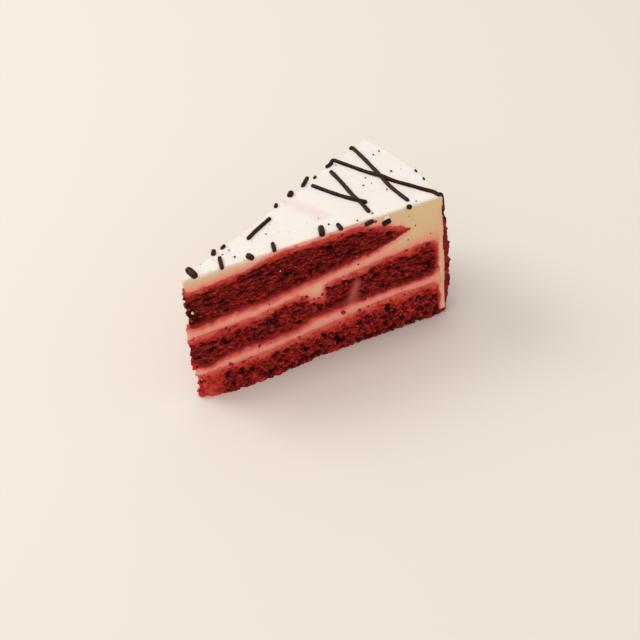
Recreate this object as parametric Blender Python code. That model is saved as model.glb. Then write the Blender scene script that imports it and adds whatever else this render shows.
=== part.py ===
"""A slice of red velvet layer cake, as it was cut.

Three sponge layers with two cream fillings between them, and cream icing over the top and down the
rim. Cake crumbs stick to the rim, and chocolate strands and short chocolate pieces lie on top.

Metres, +Z up. The slice stands on its flat underside at z = 0. +X runs from the tip to the rim along
the middle of the slice, and its two cut faces look to -Y and +Y. The origin is on the underside, at
the middle of the slice's length.
"""

import math
import random

import bmesh
import bpy
from mathutils import Euler, Matrix, Vector, noise

# Driving dimensions
CAKE_RADIUS = 0.1306
CAKE_HEIGHT = 0.0718
SLICES_PER_CAKE = 14
ORIGIN_RADIUS = 0.0680
RIM_ICING = 0.0020
RIM_ICING_FOOT = 0.0030
GAP = 0.0003

# Heights of the borders between the layers, as (distance from the cake's middle, height). Each is a
# smooth line through its points, and the same all round the cake apart from a slow unevenness.
SPONGE_1_TOP = ((0.002, 0.0146), (0.035, 0.0150), (0.070, 0.0188), (0.110, 0.0222), (0.130, 0.0218))
SPONGE_2_UNDER = (
    (0.002, 0.0205), (0.010, 0.0182), (0.017, 0.0200), (0.030, 0.0213), (0.050, 0.0216),
    (0.056, 0.0224), (0.064, 0.0258), (0.130, 0.0266),
)
SPONGE_2_TOP = ((0.002, 0.0378), (0.030, 0.0382), (0.048, 0.0404), (0.090, 0.0456), (0.130, 0.0484))
SPONGE_3_UNDER = (
    (0.002, 0.0438), (0.010, 0.0433), (0.022, 0.0446), (0.040, 0.0452), (0.070, 0.0490),
    (0.100, 0.0538), (0.114, 0.0584), (0.118, 0.0590), (0.130, 0.0592),
)
SPONGE_3_TOP = (
    (0.002, 0.0645), (0.033, 0.0667), (0.052, 0.0703), (0.085, 0.0705), (0.098, 0.0670),
    (0.107, 0.0636), (0.114, 0.0597), (0.118, 0.0590), (0.130, 0.0592),
)

# The outer ends of the two lower sponges are rounded, and cream fills the corners.
SPONGE_RADIUS = CAKE_RADIUS - RIM_ICING - GAP
ROUNDING_REACH = SPONGE_RADIUS + 0.0005
ROUND_1_TOP = 0.0064
ROUND_2_UNDER = 0.0090
ROUND_2_TOP = 0.0062
SPONGE_3_RADIUS = 0.1140

# Where each piece starts, at the tip of the slice
TIP_1, TIP_CREAM_1, TIP_2, TIP_CREAM_2, TIP_3, TIP_ICING = 0.0042, 0.0040, 0.0029, 0.0026, 0.0046, 0.0050
TIP_SET_BACK, TIP_SET_BACK_HEIGHT, TIP_SET_BACK_SHARE = 0.0030, 0.0080, 0.15

# The lowest sponge spreads under the icing's rim, below this height.
FLARE_HEIGHT = 0.0010

# A torn place in the middle sponge's top, at the -Y cut face, that the cream fills: where it lies along
# the face, how long its two ends take to drop, and how far across the slice it fades away
POCKET_FROM, POCKET_TO, POCKET_DEPTH = 0.0560, 0.0708, 0.0062
POCKET_INNER_END, POCKET_OUTER_END, POCKET_FADE = 0.0105, 0.0032, 0.6

# The lowest sponge bows out at the foot of its -Y cut face, most of all nearer to the tip.
FOOT_FROM, FOOT_TO, FOOT_BOW, FOOT_HEIGHT = 0.0050, 0.0640, 0.0033, 0.0140
FOOT_LEAN = 0.75

# Unevenness: of the borders (full from this share of the width, and different at each border), of the
# sponges' cut faces, of the cream's, and of the top
SLOW_SIZE, SLOW_DEPTH, SLOW_FROM, BORDER_SPACING = 0.030, 0.0007, 0.5, 0.099
CRUMB_SIZE, CRUMB_RELIEF = 0.0052, 0.00085
COARSE_SHARE, FINE_SHARE, FINE_SIZE, FINE_PLACE = 0.75, 0.45, 0.45, Vector((7.0, 3.0, 1.0))
CREAM_SIZE, CREAM_RELIEF = 0.0110, 0.00030
TOP_SIZE, TOP_RELIEF = 0.045, 0.00025
RELIEF_WIDTH = 0.0060
EDGE_ROUNDING = 0.0016

# A point whose share is this close to 0 or 1 lies on the skin's end or side.
ON_SKIN = 0.001

# Cells of the layers' skins: along the radius, across the slice, up the layer
SPONGE_CELLS = (37, 4, 8)
FILLING_CELLS = (37, 4, 2)
ICING_CELLS = (56, 8, 2)

# A layer's cells are even over this share of its length, and finer over the last stretch.
EVEN_SHARE, FINE_LENGTH = 0.88, 0.0085

# Parts of the icing's length, from the tip: the top, the turn at the rim, and down the rim. Of the
# turn itself, its flat start and its round edge end at these shares.
TOP_SHARE, TURN_SHARE = 0.66, 0.78
TURN_START, TURN_END = 0.1255, 0.0570
FLAT_SHARE, ROUND_SHARE = 0.2, 0.7

# The coat of crumbs on the rim: how far it stands out, where it ends, how bluntly, and how uneven it is
COAT_DEPTH, COAT_TOP, COAT_BLUNTNESS = 0.0018, 0.0655, 0.85
COAT_SIZE, COAT_RELIEF = 0.0065, 0.00055

# Larger crumbs in the coat: rows, crumbs a row, sizes and their share at the coat's ends, shape, how far
# they stray from even rows, the band that they cover, and how deep they are pressed in
CRUMB_SEED = 11
CRUMB_ROWS, CRUMBS_PER_ROW = 8, 7
CRUMB_RADIUS_MIN, CRUMB_RADIUS_MAX, CRUMB_END_SHARE = 0.0024, 0.0036, 0.6
CRUMB_FLATNESS, CRUMB_ROUGHNESS, CRUMB_DETAIL = 0.58, 0.15, 1.7
CRUMB_STAGGER, CRUMB_JITTER, CRUMB_SWAY = 0.3, 0.35, 0.2
CRUMB_BAND = (0.0065, 0.0600)
CRUMB_SINK = 0.0017

# Chocolate strands on top. Places on top are given as (distance along the -Y cut edge from the cake's
# middle, distance in from that edge).
STRAND_RADIUS, STRAND_LIFT = 0.0010, 0.0002
STRANDS = (
    (
        (0.1075, 0.0512), (0.1090, 0.0516), (0.1105, 0.0410), (0.1115, 0.0280), (0.1125, 0.0160),
        (0.1150, 0.0030),
    ),
    (
        (0.0916, 0.0440), (0.0945, 0.0452), (0.0969, 0.0474), (0.0992, 0.0440), (0.1027, 0.0385),
        (0.1107, 0.0265), (0.1167, 0.0180), (0.1237, 0.0090), (0.1277, 0.0045), (0.1290, 0.0012),
    ),
    ((0.0926, 0.0408), (0.0937, 0.0290), (0.0945, 0.0180), (0.0955, 0.0110), (0.0962, 0.0038)),
    ((0.0805, 0.0352), (0.0866, 0.0252), (0.0947, 0.0142), (0.0980, 0.0110)),
    ((0.0401, 0.0130), (0.0480, 0.0180), (0.0550, 0.0222)),
)
DRIP_FROM, DRIP_TURN, DRIP_TO = (0.1290, 0.0012), 0.0700, 0.0620
DRIP_SHOULDER = 0.25 * EDGE_ROUNDING
WELD_DISTANCE = 0.00001

# Short chocolate pieces on top: start, end, thickness
SHORT_PIECES = (
    ((0.0093, 0.0056), (0.0105, 0.0003), 0.0034),
    ((0.0246, 0.0070), (0.0230, -0.0004), 0.0021),
    ((0.0239, 0.0124), (0.0228, 0.0102), 0.0023),
    ((0.0276, 0.0124), (0.0294, 0.0136), 0.0017),
    ((0.0362, 0.0021), (0.0373, -0.0003), 0.0028),
    ((0.0491, 0.0047), (0.0480, -0.0002), 0.0021),
    ((0.0610, 0.0296), (0.0599, 0.0281), 0.0018),
    ((0.0702, 0.0340), (0.0687, 0.0324), 0.0028),
    ((0.0812, 0.0409), (0.0767, 0.0361), 0.0021),
    ((0.0849, 0.0401), (0.0838, 0.0391), 0.0014),
    ((0.0724, 0.0045), (0.0710, -0.0001), 0.0031),
    ((0.0800, 0.0030), (0.0802, -0.0006), 0.0022),
    ((0.1277, 0.0225), (0.1277, 0.0210), 0.0010),
    ((0.1284, 0.0154), (0.1283, 0.0140), 0.0010),
)

# Short chocolate pieces on the icing's -Y cut face: start, end as (along the face, height), thickness
FACE_PIECES = (
    ((0.0921, 0.0698), (0.0956, 0.0705), 0.0022),
    ((0.1006, 0.0668), (0.1038, 0.0675), 0.0026),
    ((0.1133, 0.0719), (0.1142, 0.0714), 0.0024),
)
PIECE_SINK, PIECE_ROUND_END, PIECE_BLUNTNESS = 0.35, 0.2, 0.25

HALF_ANGLE = math.pi / SLICES_PER_CAKE
NEAR_OUTWARD = Vector((-math.sin(HALF_ANGLE), -math.cos(HALF_ANGLE), 0.0))
FAR_OUTWARD = Vector((-math.sin(HALF_ANGLE), math.cos(HALF_ANGLE), 0.0))


# Places

def polar(radius, across, height):
    """A point of the slice: across runs from 0 at the -Y cut face to 1 at the +Y one."""
    angle = (2.0 * across - 1.0) * HALF_ANGLE
    return Vector((radius * math.cos(angle) - ORIGIN_RADIUS, radius * math.sin(angle), height))


def from_cut_edge(along, inward, height):
    """A point given along the -Y cut edge and in from it."""
    start = Vector((-ORIGIN_RADIUS, 0.0, height))
    edge = Vector((math.cos(HALF_ANGLE), -math.sin(HALF_ANGLE), 0.0))
    return start + edge * along - NEAR_OUTWARD * inward


def smooth_step(low, high, value):
    """0 below low, 1 above high, with an even turn between."""
    share = min(max((value - low) / (high - low), 0.0), 1.0)
    return share * share * (3.0 - 2.0 * share)


def line_slopes(points):
    """Slopes at a line's points that keep the smooth line between its neighbours' heights."""
    steps = [(b[1] - a[1]) / (b[0] - a[0]) for a, b in zip(points, points[1:])]
    inner = [2.0 * a * b / (a + b) if a * b > 0.0 else 0.0 for a, b in zip(steps, steps[1:])]
    return [steps[0]] + inner + [steps[-1]]


def line_height(points, radius):
    """Height of the smooth line through the points at this distance from the cake's middle."""
    slopes = line_slopes(points)
    last = len(points) - 2
    index = next((i for i in range(last) if radius < points[i + 1][0]), last)
    (start, low), (end, high) = points[index], points[index + 1]
    length = end - start
    share = (radius - start) / length
    ease = share * share * (3.0 - 2.0 * share)
    lean_in = share * (1.0 - share) ** 2 * length * slopes[index]
    lean_out = share * share * (share - 1.0) * length * slopes[index + 1]
    return low + (high - low) * ease + lean_in + lean_out


def rounding(radius, size):
    """How far a rounded outer end has dropped, or risen, at this distance from the middle."""
    into = max(radius - (ROUNDING_REACH - size), 0.0)
    return size - math.sqrt(max(size * size - into * into, 0.0))


def pocket(radius, across):
    """Depth of the torn place, which fades away from the -Y cut face."""
    inside = smooth_step(POCKET_FROM, POCKET_FROM + POCKET_INNER_END, radius)
    inside *= 1.0 - smooth_step(POCKET_TO - POCKET_OUTER_END, POCKET_TO, radius)
    return POCKET_DEPTH * inside * (1.0 - smooth_step(0.0, POCKET_FADE, across))


def slow_unevenness(radius, across, level):
    """How far a border rises or falls over a few centimetres, away from the -Y cut face."""
    place = polar(radius, across, level * BORDER_SPACING)
    return SLOW_DEPTH * smooth_step(0.0, SLOW_FROM, across) * noise.noise(place / SLOW_SIZE)


def sponge_1_top(radius, across):
    """Height of the border between the lowest sponge and the lower filling."""
    level = line_height(SPONGE_1_TOP, radius) + slow_unevenness(radius, across, 1)
    return level - rounding(radius, ROUND_1_TOP)


def sponge_2_under(radius, across):
    """Height of the border between the lower filling and the middle sponge."""
    level = line_height(SPONGE_2_UNDER, radius) + slow_unevenness(radius, across, 2)
    return level + rounding(radius, ROUND_2_UNDER)


def sponge_2_top(radius, across):
    """Height of the border between the middle sponge and the upper filling."""
    level = line_height(SPONGE_2_TOP, radius) + slow_unevenness(radius, across, 3)
    return level - rounding(radius, ROUND_2_TOP) - pocket(radius, across)


def sponge_3_under(radius, across):
    """Height of the border between the upper filling and the highest sponge."""
    return line_height(SPONGE_3_UNDER, radius) + slow_unevenness(radius, across, 4)


def sponge_3_top(radius, across):
    """Height of the border between the highest sponge and the icing."""
    return line_height(SPONGE_3_TOP, radius) + slow_unevenness(radius, across, 4)


def beside(border, radius, across, side):
    """Height of a layer's own surface at a border: half the gap above it (side 1) or below it (-1)."""
    reach = 0.0010
    rise = border(radius + reach, across) - border(radius - reach, across)
    lean = math.sqrt(1.0 + (rise / (2.0 * reach)) ** 2)
    return border(radius, across) + side * 0.5 * GAP * lean


def icing_top(radius, across):
    """Height of the icing's upper surface."""
    place = polar(radius, across, 0.0)
    return CAKE_HEIGHT + TOP_RELIEF * noise.noise(place / TOP_SIZE)


# Skins

def gridded_box(cells):
    """A unit box at 0 to 1 whose skin is cut into cells along each axis."""
    skin = bmesh.new()
    bmesh.ops.create_cube(skin, size=1.0, matrix=Matrix.Translation((0.5, 0.5, 0.5)))
    for axis, count in enumerate(cells):
        along = [e for e in skin.edges if abs((e.verts[0].co - e.verts[1].co)[axis]) > 0.5]
        bmesh.ops.subdivide_edges(skin, edges=along, cuts=count - 1, use_grid_fill=True)
    return skin


def radius_along(share, tip, end):
    """Distance from the middle at a share of the layer's length. Steps get finer at the outer end."""
    even_end = end - FINE_LENGTH
    if share < EVEN_SHARE:
        return tip + (even_end - tip) * share / EVEN_SHARE
    into = (share - EVEN_SHARE) / (1.0 - EVEN_SHARE)
    return even_end + FINE_LENGTH * math.sin(into * math.pi / 2.0)


def crumb_relief(place):
    """How far the crumb of a cut face stands out or lies back."""
    coarse = noise.noise(place / CRUMB_SIZE)
    fine = noise.noise(place / (FINE_SIZE * CRUMB_SIZE) + FINE_PLACE)
    return CRUMB_RELIEF * (COARSE_SHARE * coarse + FINE_SHARE * fine)


def cream_relief(place):
    """How uneven the cream is on a cut face."""
    return CREAM_RELIEF * noise.noise(place / CREAM_SIZE)


def relieve(place, share, across, relief):
    """Moves a point of a cut face or of the tip in or out by the relief there, less where it is thin."""
    width = 2.0 * (place.x + ORIGIN_RADIUS) * math.tan(HALF_ANGLE)
    depth = relief(place) * min(1.0, width / RELIEF_WIDTH)
    if across < ON_SKIN:
        return place + NEAR_OUTWARD * depth
    if across > 1.0 - ON_SKIN:
        return place + FAR_OUTWARD * depth
    if share < ON_SKIN:
        return place - Vector((1.0, 0.0, 0.0)) * relief(place)
    return place


def tip_set_back(share, height):
    """How far the foot of the slice's tip lies back."""
    near_tip = 1.0 - smooth_step(0.0, TIP_SET_BACK_SHARE, share)
    return TIP_SET_BACK * near_tip * max(1.0 - height / TIP_SET_BACK_HEIGHT, 0.0)


def rim_flare(share, height):
    """How far the lowest sponge spreads, where it stands, to lie flush with the icing's outside."""
    at_rim = share > 1.0 - ON_SKIN
    return CAKE_RADIUS - SPONGE_RADIUS if at_rim and height < FLARE_HEIGHT else 0.0


def foot_bow(radius, across, height):
    """How far the foot of the -Y cut face stands out."""
    share = (radius - FOOT_FROM) / (FOOT_TO - FOOT_FROM)
    if across > ON_SKIN or not 0.0 < share < 1.0 or height > FOOT_HEIGHT:
        return 0.0
    return FOOT_BOW * math.sin(math.pi * share ** FOOT_LEAN) * (1.0 - height / FOOT_HEIGHT) ** 2


def coat_swell(height):
    """How thick the coat of crumbs is at a height, as a share of its full thickness."""
    share = min(max((height - RIM_ICING_FOOT) / (COAT_TOP - RIM_ICING_FOOT), 0.0), 1.0)
    return math.sin(math.pi * share) ** COAT_BLUNTNESS


def rim_wall(height, across):
    """Distance of the rim's outside from the cake's middle, with the coat of crumbs on it."""
    uneven = COAT_RELIEF * noise.noise(polar(CAKE_RADIUS, across, height) / COAT_SIZE)
    return CAKE_RADIUS + coat_swell(height) * (COAT_DEPTH + uneven)


def new_object(name, skin, collection):
    """An object of this skin, its faces looking out and split along their shorter diagonals."""
    mesh = bpy.data.meshes.new(name)
    if skin.calc_volume(signed=True) < 0.0:
        bmesh.ops.reverse_faces(skin, faces=skin.faces)
    bmesh.ops.triangulate(skin, faces=skin.faces, quad_method="SHORT_EDGE")
    skin.to_mesh(mesh)
    skin.free()
    made = bpy.data.objects.new(name, mesh)
    collection.objects.link(made)
    return made


# Layers

def layer(name, cells, tip, end, under, over, relief, collection):
    """A layer between two heights, each a function of the radius and the place across the slice."""
    skin = gridded_box(cells)
    for corner in skin.verts:
        share, across, up = corner.co
        radius = radius_along(share, tip, end)
        low = under(radius, across)
        height = low + (over(radius, across) - low) * up
        radius += tip_set_back(share, height) + rim_flare(share, height)
        place = polar(radius, across, height)
        place += NEAR_OUTWARD * foot_bow(radius, across, height)
        corner.co = relieve(place, share, across, relief)
    return new_object(name, skin, collection)


def lowest_sponge(collection):
    """The lowest sponge, flat where it stands."""
    return layer(
        "sponge_bottom", SPONGE_CELLS, TIP_1, SPONGE_RADIUS,
        lambda r, a: 0.0,
        lambda r, a: beside(sponge_1_top, r, a, -1),
        crumb_relief, collection,
    )


def lower_filling(collection):
    """The cream between the lowest and the middle sponge."""
    return layer(
        "filling_lower", FILLING_CELLS, TIP_CREAM_1, SPONGE_RADIUS,
        lambda r, a: beside(sponge_1_top, r, a, 1),
        lambda r, a: beside(sponge_2_under, r, a, -1),
        cream_relief, collection,
    )


def middle_sponge(collection):
    """The middle sponge, with the torn place in its top."""
    return layer(
        "sponge_middle", SPONGE_CELLS, TIP_2, SPONGE_RADIUS,
        lambda r, a: beside(sponge_2_under, r, a, 1),
        lambda r, a: beside(sponge_2_top, r, a, -1),
        crumb_relief, collection,
    )


def upper_filling(collection):
    """The cream between the middle and the highest sponge."""
    return layer(
        "filling_upper", FILLING_CELLS, TIP_CREAM_2, SPONGE_RADIUS,
        lambda r, a: beside(sponge_2_top, r, a, 1),
        lambda r, a: beside(sponge_3_under, r, a, -1),
        cream_relief, collection,
    )


def highest_sponge(collection):
    """The highest sponge, domed, which thins out before it reaches the rim."""
    return layer(
        "sponge_top", SPONGE_CELLS, TIP_3, SPONGE_3_RADIUS,
        lambda r, a: beside(sponge_3_under, r, a, 1),
        lambda r, a: beside(sponge_3_top, r, a, -1),
        crumb_relief, collection,
    )


# Icing

def icing_section(share, across):
    """The icing's inner and outer point, as (radius, height), at a share of its length."""
    inner_wall = CAKE_RADIUS - RIM_ICING
    if share <= TOP_SHARE:
        radius = TIP_ICING + (TURN_START - TIP_ICING) * share / TOP_SHARE
        return (radius, beside(sponge_3_top, radius, across, 1)), (radius, icing_top(radius, across))
    if share <= TURN_SHARE:
        turn = (share - TOP_SHARE) / (TURN_SHARE - TOP_SHARE)
        inner_radius = TURN_START + (inner_wall - TURN_START) * turn
        inner_height = beside(sponge_3_top, inner_radius, across, 1)
        return (inner_radius, inner_height), rim_turn(turn, across)
    down = (share - TURN_SHARE) / (1.0 - TURN_SHARE)
    inner_top = beside(sponge_3_top, inner_wall, across, 1)
    inner_height = inner_top + (RIM_ICING_FOOT - inner_top) * down
    outer_height = TURN_END + (RIM_ICING_FOOT - TURN_END) * down
    return (inner_wall, inner_height), (rim_wall(outer_height, across), outer_height)


def rim_turn(turn, across):
    """A point of the outer edge's turn: along the top, round the edge, and down to where it ends."""
    flat_end = CAKE_RADIUS - EDGE_ROUNDING
    level = icing_top(CAKE_RADIUS, across)
    if turn < FLAT_SHARE:
        return TURN_START + (flat_end - TURN_START) * turn / FLAT_SHARE, level
    if turn < ROUND_SHARE:
        angle = (turn - FLAT_SHARE) / (ROUND_SHARE - FLAT_SHARE) * math.pi / 2.0
        return (
            flat_end + EDGE_ROUNDING * math.sin(angle),
            level - EDGE_ROUNDING * (1.0 - math.cos(angle)),
        )
    low = level - EDGE_ROUNDING
    height = low + (TURN_END - low) * (turn - ROUND_SHARE) / (1.0 - ROUND_SHARE)
    return rim_wall(height, across), height


def icing_skin(collection):
    """The icing without what lies on it: one sheet that covers the top and turns down the rim."""
    skin = gridded_box(ICING_CELLS)
    for corner in skin.verts:
        share, across, up = corner.co
        inner, outer = icing_section(share, across)
        radius = inner[0] + (outer[0] - inner[0]) * up
        height = inner[1] + (outer[1] - inner[1]) * up
        corner.co = relieve(polar(radius, across, height), share, across, cream_relief)
    return new_object("icing", skin, collection)


def lump(name, radius, turn, place, collection):
    """A crumb: a rough ball of few faces, flattened along its own X and turned."""
    skin = bmesh.new()
    bmesh.ops.create_icosphere(skin, subdivisions=1, radius=radius)
    for corner in skin.verts:
        rough = noise.noise((CRUMB_DETAIL * corner.co + place) / radius)
        corner.co *= 1.0 + CRUMB_ROUGHNESS * rough
        corner.co.x *= CRUMB_FLATNESS
        corner.co = turn @ corner.co + place
    return new_object(name, skin, collection)


def rim_crumbs(collection):
    """Crumbs pressed into the icing's rim, in uneven rows."""
    draw = random.Random(CRUMB_SEED)
    low, high = CRUMB_BAND
    for row in range(CRUMB_ROWS):
        for step in range(CRUMBS_PER_ROW):
            size = draw.uniform(CRUMB_RADIUS_MIN, CRUMB_RADIUS_MAX)
            stagger = CRUMB_STAGGER * (row % 2 - 0.5) + draw.uniform(-CRUMB_JITTER, CRUMB_JITTER)
            across = (step + 0.5 + stagger) / CRUMBS_PER_ROW
            up = (row + 0.5 + draw.uniform(-CRUMB_JITTER, CRUMB_JITTER)) / CRUMB_ROWS
            height = low + (high - low) * up
            size *= CRUMB_END_SHARE + (1.0 - CRUMB_END_SHARE) * coat_swell(height)
            margin = size / (2.0 * CAKE_RADIUS * math.sin(HALF_ANGLE))
            across = min(max(across, margin), 1.0 - margin)
            centre = rim_wall(height, across) + size * CRUMB_FLATNESS - CRUMB_SINK
            facing = (2.0 * across - 1.0) * HALF_ANGLE
            spin = draw.uniform(0.0, math.pi)
            tilt = draw.uniform(-CRUMB_SWAY, CRUMB_SWAY)
            sway = draw.uniform(-CRUMB_SWAY, CRUMB_SWAY)
            turn = Euler((spin, tilt, facing + sway)).to_matrix()
            lump(f"crumb_{row}_{step}", size, turn, polar(centre, across, height), collection)


def tube(name, points, collection):
    """A strand of even thickness through the points, as a closed mesh."""
    curve = bpy.data.curves.new(name, "CURVE")
    curve.dimensions = "3D"
    curve.bevel_depth = STRAND_RADIUS
    curve.bevel_resolution = 1
    curve.use_fill_caps = True
    spline = curve.splines.new("POLY")
    spline.points.add(len(points) - 1)
    for target, point in zip(spline.points, points):
        target.co = (*point, 1.0)
    guide = bpy.data.objects.new(name, curve)
    collection.objects.link(guide)
    bpy.context.view_layer.update()
    mesh = bpy.data.meshes.new_from_object(guide.evaluated_get(bpy.context.evaluated_depsgraph_get()))
    skin = bmesh.new()
    skin.from_mesh(mesh)
    bmesh.ops.remove_doubles(skin, verts=skin.verts, dist=WELD_DISTANCE)
    bpy.data.objects.remove(guide)
    bpy.data.curves.remove(curve)
    bpy.data.meshes.remove(mesh)
    return new_object(name, skin, collection)


def strands(collection):
    """The long chocolate strands. The second one runs over the rim's edge and a little way down."""
    level = CAKE_HEIGHT + STRAND_LIFT
    for index, places in enumerate(STRANDS):
        points = [from_cut_edge(along, inward, level) for along, inward in places]
        tube(f"strand_{index + 1}", points, collection)
    start = from_cut_edge(*DRIP_FROM, level)
    across = 0.5 + 0.5 * math.atan2(start.y, start.x + ORIGIN_RADIUS) / HALF_ANGLE
    shoulder = polar(CAKE_RADIUS - DRIP_SHOULDER, across, level - DRIP_SHOULDER)
    below = polar(rim_wall(DRIP_TURN, across) + STRAND_LIFT, across, DRIP_TURN)
    end = polar(rim_wall(DRIP_TO, across) + STRAND_LIFT, across, DRIP_TO)
    tube("strand_drip", [start, shoulder, below, end], collection)


def short_piece(name, start, end, thickness, collection):
    """A short chocolate piece: a ball of few faces drawn out between its ends."""
    skin = bmesh.new()
    bmesh.ops.create_uvsphere(skin, u_segments=6, v_segments=5, radius=1.0)
    half_length = 0.5 * (end - start).length + PIECE_ROUND_END * thickness
    turn = (end - start).to_track_quat("Z", "Y").to_matrix()
    for corner in skin.verts:
        along = math.copysign(abs(corner.co.z) ** PIECE_BLUNTNESS, corner.co.z) * half_length
        flat = Vector((corner.co.x, corner.co.y, 0.0)) * 0.5 * thickness
        corner.co = turn @ (flat + Vector((0.0, 0.0, along))) + (start + end) / 2.0
    return new_object(name, skin, collection)


def short_pieces(collection):
    """The short chocolate pieces on top and those on the -Y cut face of the icing."""
    for index, (start, end, thickness) in enumerate(SHORT_PIECES):
        height = CAKE_HEIGHT + (0.5 - PIECE_SINK) * thickness
        ends = [from_cut_edge(along, inward, height) for along, inward in (start, end)]
        short_piece(f"short_{index + 1}", *ends, thickness, collection)
    for index, (start, end, thickness) in enumerate(FACE_PIECES):
        inward = -(0.5 - PIECE_SINK) * thickness
        ends = [from_cut_edge(along, inward, height) for along, height in (start, end)]
        short_piece(f"face_{index + 1}", *ends, thickness, collection)


def fuse(base, additions):
    """Joins every object of a collection to the base, and removes them."""
    joint = base.modifiers.new("fuse", "BOOLEAN")
    joint.operation = "UNION"
    joint.operand_type = "COLLECTION"
    joint.collection = additions
    joint.solver = "MANIFOLD"
    bpy.context.view_layer.update()
    whole = bpy.data.meshes.new_from_object(base.evaluated_get(bpy.context.evaluated_depsgraph_get()))
    base.modifiers.clear()
    old = base.data
    base.data = whole
    bpy.data.meshes.remove(old)
    whole.name = base.name
    for lying in list(additions.objects):
        bpy.data.objects.remove(lying)
    bpy.data.collections.remove(additions)


def tidy_skin(target):
    """Keeps the body itself, which fills the hollows that fusing sealed and drops loose scraps."""
    skin = bmesh.new()
    skin.from_mesh(target.data)
    keep = largest_body(skin)
    bmesh.ops.delete(skin, geom=[v for v in skin.verts if v not in keep], context="VERTS")
    skin.to_mesh(target.data)
    skin.free()


def largest_body(skin):
    """The corners of the connected body with the most corners."""
    left = set(skin.verts)
    bodies = []
    while left:
        body = set()
        edge = [left.pop()]
        while edge:
            corner = edge.pop()
            body.add(corner)
            near = {e.other_vert(corner) for e in corner.link_edges} & left
            left -= near
            edge.extend(near)
        bodies.append(body)
    return max(bodies, key=len)


def icing(collection):
    """The icing with its crumbs, strands and short pieces fused to it."""
    base = icing_skin(collection)
    additions = bpy.data.collections.new("lying_on_icing")
    bpy.context.scene.collection.children.link(additions)
    rim_crumbs(additions)
    strands(additions)
    short_pieces(additions)
    fuse(base, additions)
    tidy_skin(base)
    return base


# Finishes

def linear(red, green, blue):
    """A colour as seen, 0 to 255, as the values that a shader takes."""
    parts = [c / 255.0 for c in (red, green, blue)]
    return tuple(c / 12.92 if c <= 0.04045 else ((c + 0.055) / 1.055) ** 2.4 for c in parts) + (1.0,)


def finish(target, name, colour, roughness):
    """Gives an object its own plain, non-metallic finish."""
    material = bpy.data.materials.new(name)
    material.use_nodes = True
    shader = material.node_tree.nodes["Principled BSDF"]
    shader.inputs["Base Color"].default_value = linear(*colour)
    shader.inputs["Roughness"].default_value = roughness
    shader.inputs["Metallic"].default_value = 0.0
    material.diffuse_color = linear(*colour)
    target.data.materials.clear()
    target.data.materials.append(material)


def clear_scene():
    """Removes what the file started with."""
    for old in list(bpy.data.objects):
        bpy.data.objects.remove(old)


def main():
    clear_scene()
    slice_parts = bpy.data.collections.new("red_velvet_cake_slice")
    bpy.context.scene.collection.children.link(slice_parts)
    finish(lowest_sponge(slice_parts), "red_sponge_bottom", (120, 26, 22), 0.9)
    finish(lower_filling(slice_parts), "stained_cream_lower", (222, 160, 138), 0.5)
    finish(middle_sponge(slice_parts), "red_sponge_middle", (112, 24, 21), 0.9)
    finish(upper_filling(slice_parts), "stained_cream_upper", (226, 178, 152), 0.5)
    finish(highest_sponge(slice_parts), "red_sponge_top", (104, 22, 20), 0.9)
    finish(icing(slice_parts), "cream_icing", (248, 238, 224), 0.45)


main()
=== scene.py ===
"""Looks of the red velvet cake slice, laid out as a Blender add-on and run as a script.

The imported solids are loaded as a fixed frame. Each operator below makes one kind of piece in place of
them: the red sponge layers, the cream between and over them, the coat of crumbs on the rim, the
chocolate on top, and loose crumbs. Metres, +Z up. +X runs from the tip to the rim along the middle of
the slice, its cut faces look to -Y and +Y, and the origin lies on the underside.
"""

import math
import random
from collections import namedtuple
from functools import lru_cache

import bmesh
import bpy
from bpy.props import FloatProperty, FloatVectorProperty, IntProperty, PointerProperty
from mathutils import Euler, Matrix, Vector, noise


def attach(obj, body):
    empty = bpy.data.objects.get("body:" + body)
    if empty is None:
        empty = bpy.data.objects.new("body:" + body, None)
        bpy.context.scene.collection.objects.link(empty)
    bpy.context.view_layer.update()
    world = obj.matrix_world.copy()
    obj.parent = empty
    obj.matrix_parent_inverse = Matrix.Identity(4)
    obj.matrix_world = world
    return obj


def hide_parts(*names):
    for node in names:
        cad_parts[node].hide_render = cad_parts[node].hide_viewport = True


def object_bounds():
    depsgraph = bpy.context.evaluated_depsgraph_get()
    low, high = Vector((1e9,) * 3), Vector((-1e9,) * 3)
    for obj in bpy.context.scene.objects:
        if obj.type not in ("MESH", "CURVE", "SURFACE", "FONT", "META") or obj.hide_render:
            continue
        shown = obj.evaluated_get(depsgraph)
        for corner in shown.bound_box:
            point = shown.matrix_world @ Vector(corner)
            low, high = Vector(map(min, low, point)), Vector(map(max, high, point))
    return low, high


bl_info = {
    "name": "Red velvet cake slice",
    "version": (1, 0, 0),
    "blender": (4, 5, 0),
    "location": "3D View > Sidebar > Cake slice",
    "description": "Makes a slice of red velvet layer cake with cream, crumbs and chocolate",
    "category": "Add Mesh",
}

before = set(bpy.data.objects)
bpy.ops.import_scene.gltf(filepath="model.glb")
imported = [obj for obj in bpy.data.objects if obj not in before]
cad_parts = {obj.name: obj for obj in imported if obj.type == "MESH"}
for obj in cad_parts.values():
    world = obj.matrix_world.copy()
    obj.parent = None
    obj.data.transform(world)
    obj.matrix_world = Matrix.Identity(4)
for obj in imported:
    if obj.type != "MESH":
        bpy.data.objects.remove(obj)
CAD_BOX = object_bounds()
BODY = "root"

# Driving sizes of the slice
CAKE_RADIUS = 0.1306
CAKE_HEIGHT = 0.0718
SLICES_PER_CAKE = 14
ORIGIN_RADIUS = 0.0680
RIM_ICING = 0.0020
RIM_ICING_FOOT = 0.0030
RIM_INNER = CAKE_RADIUS - RIM_ICING

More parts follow.
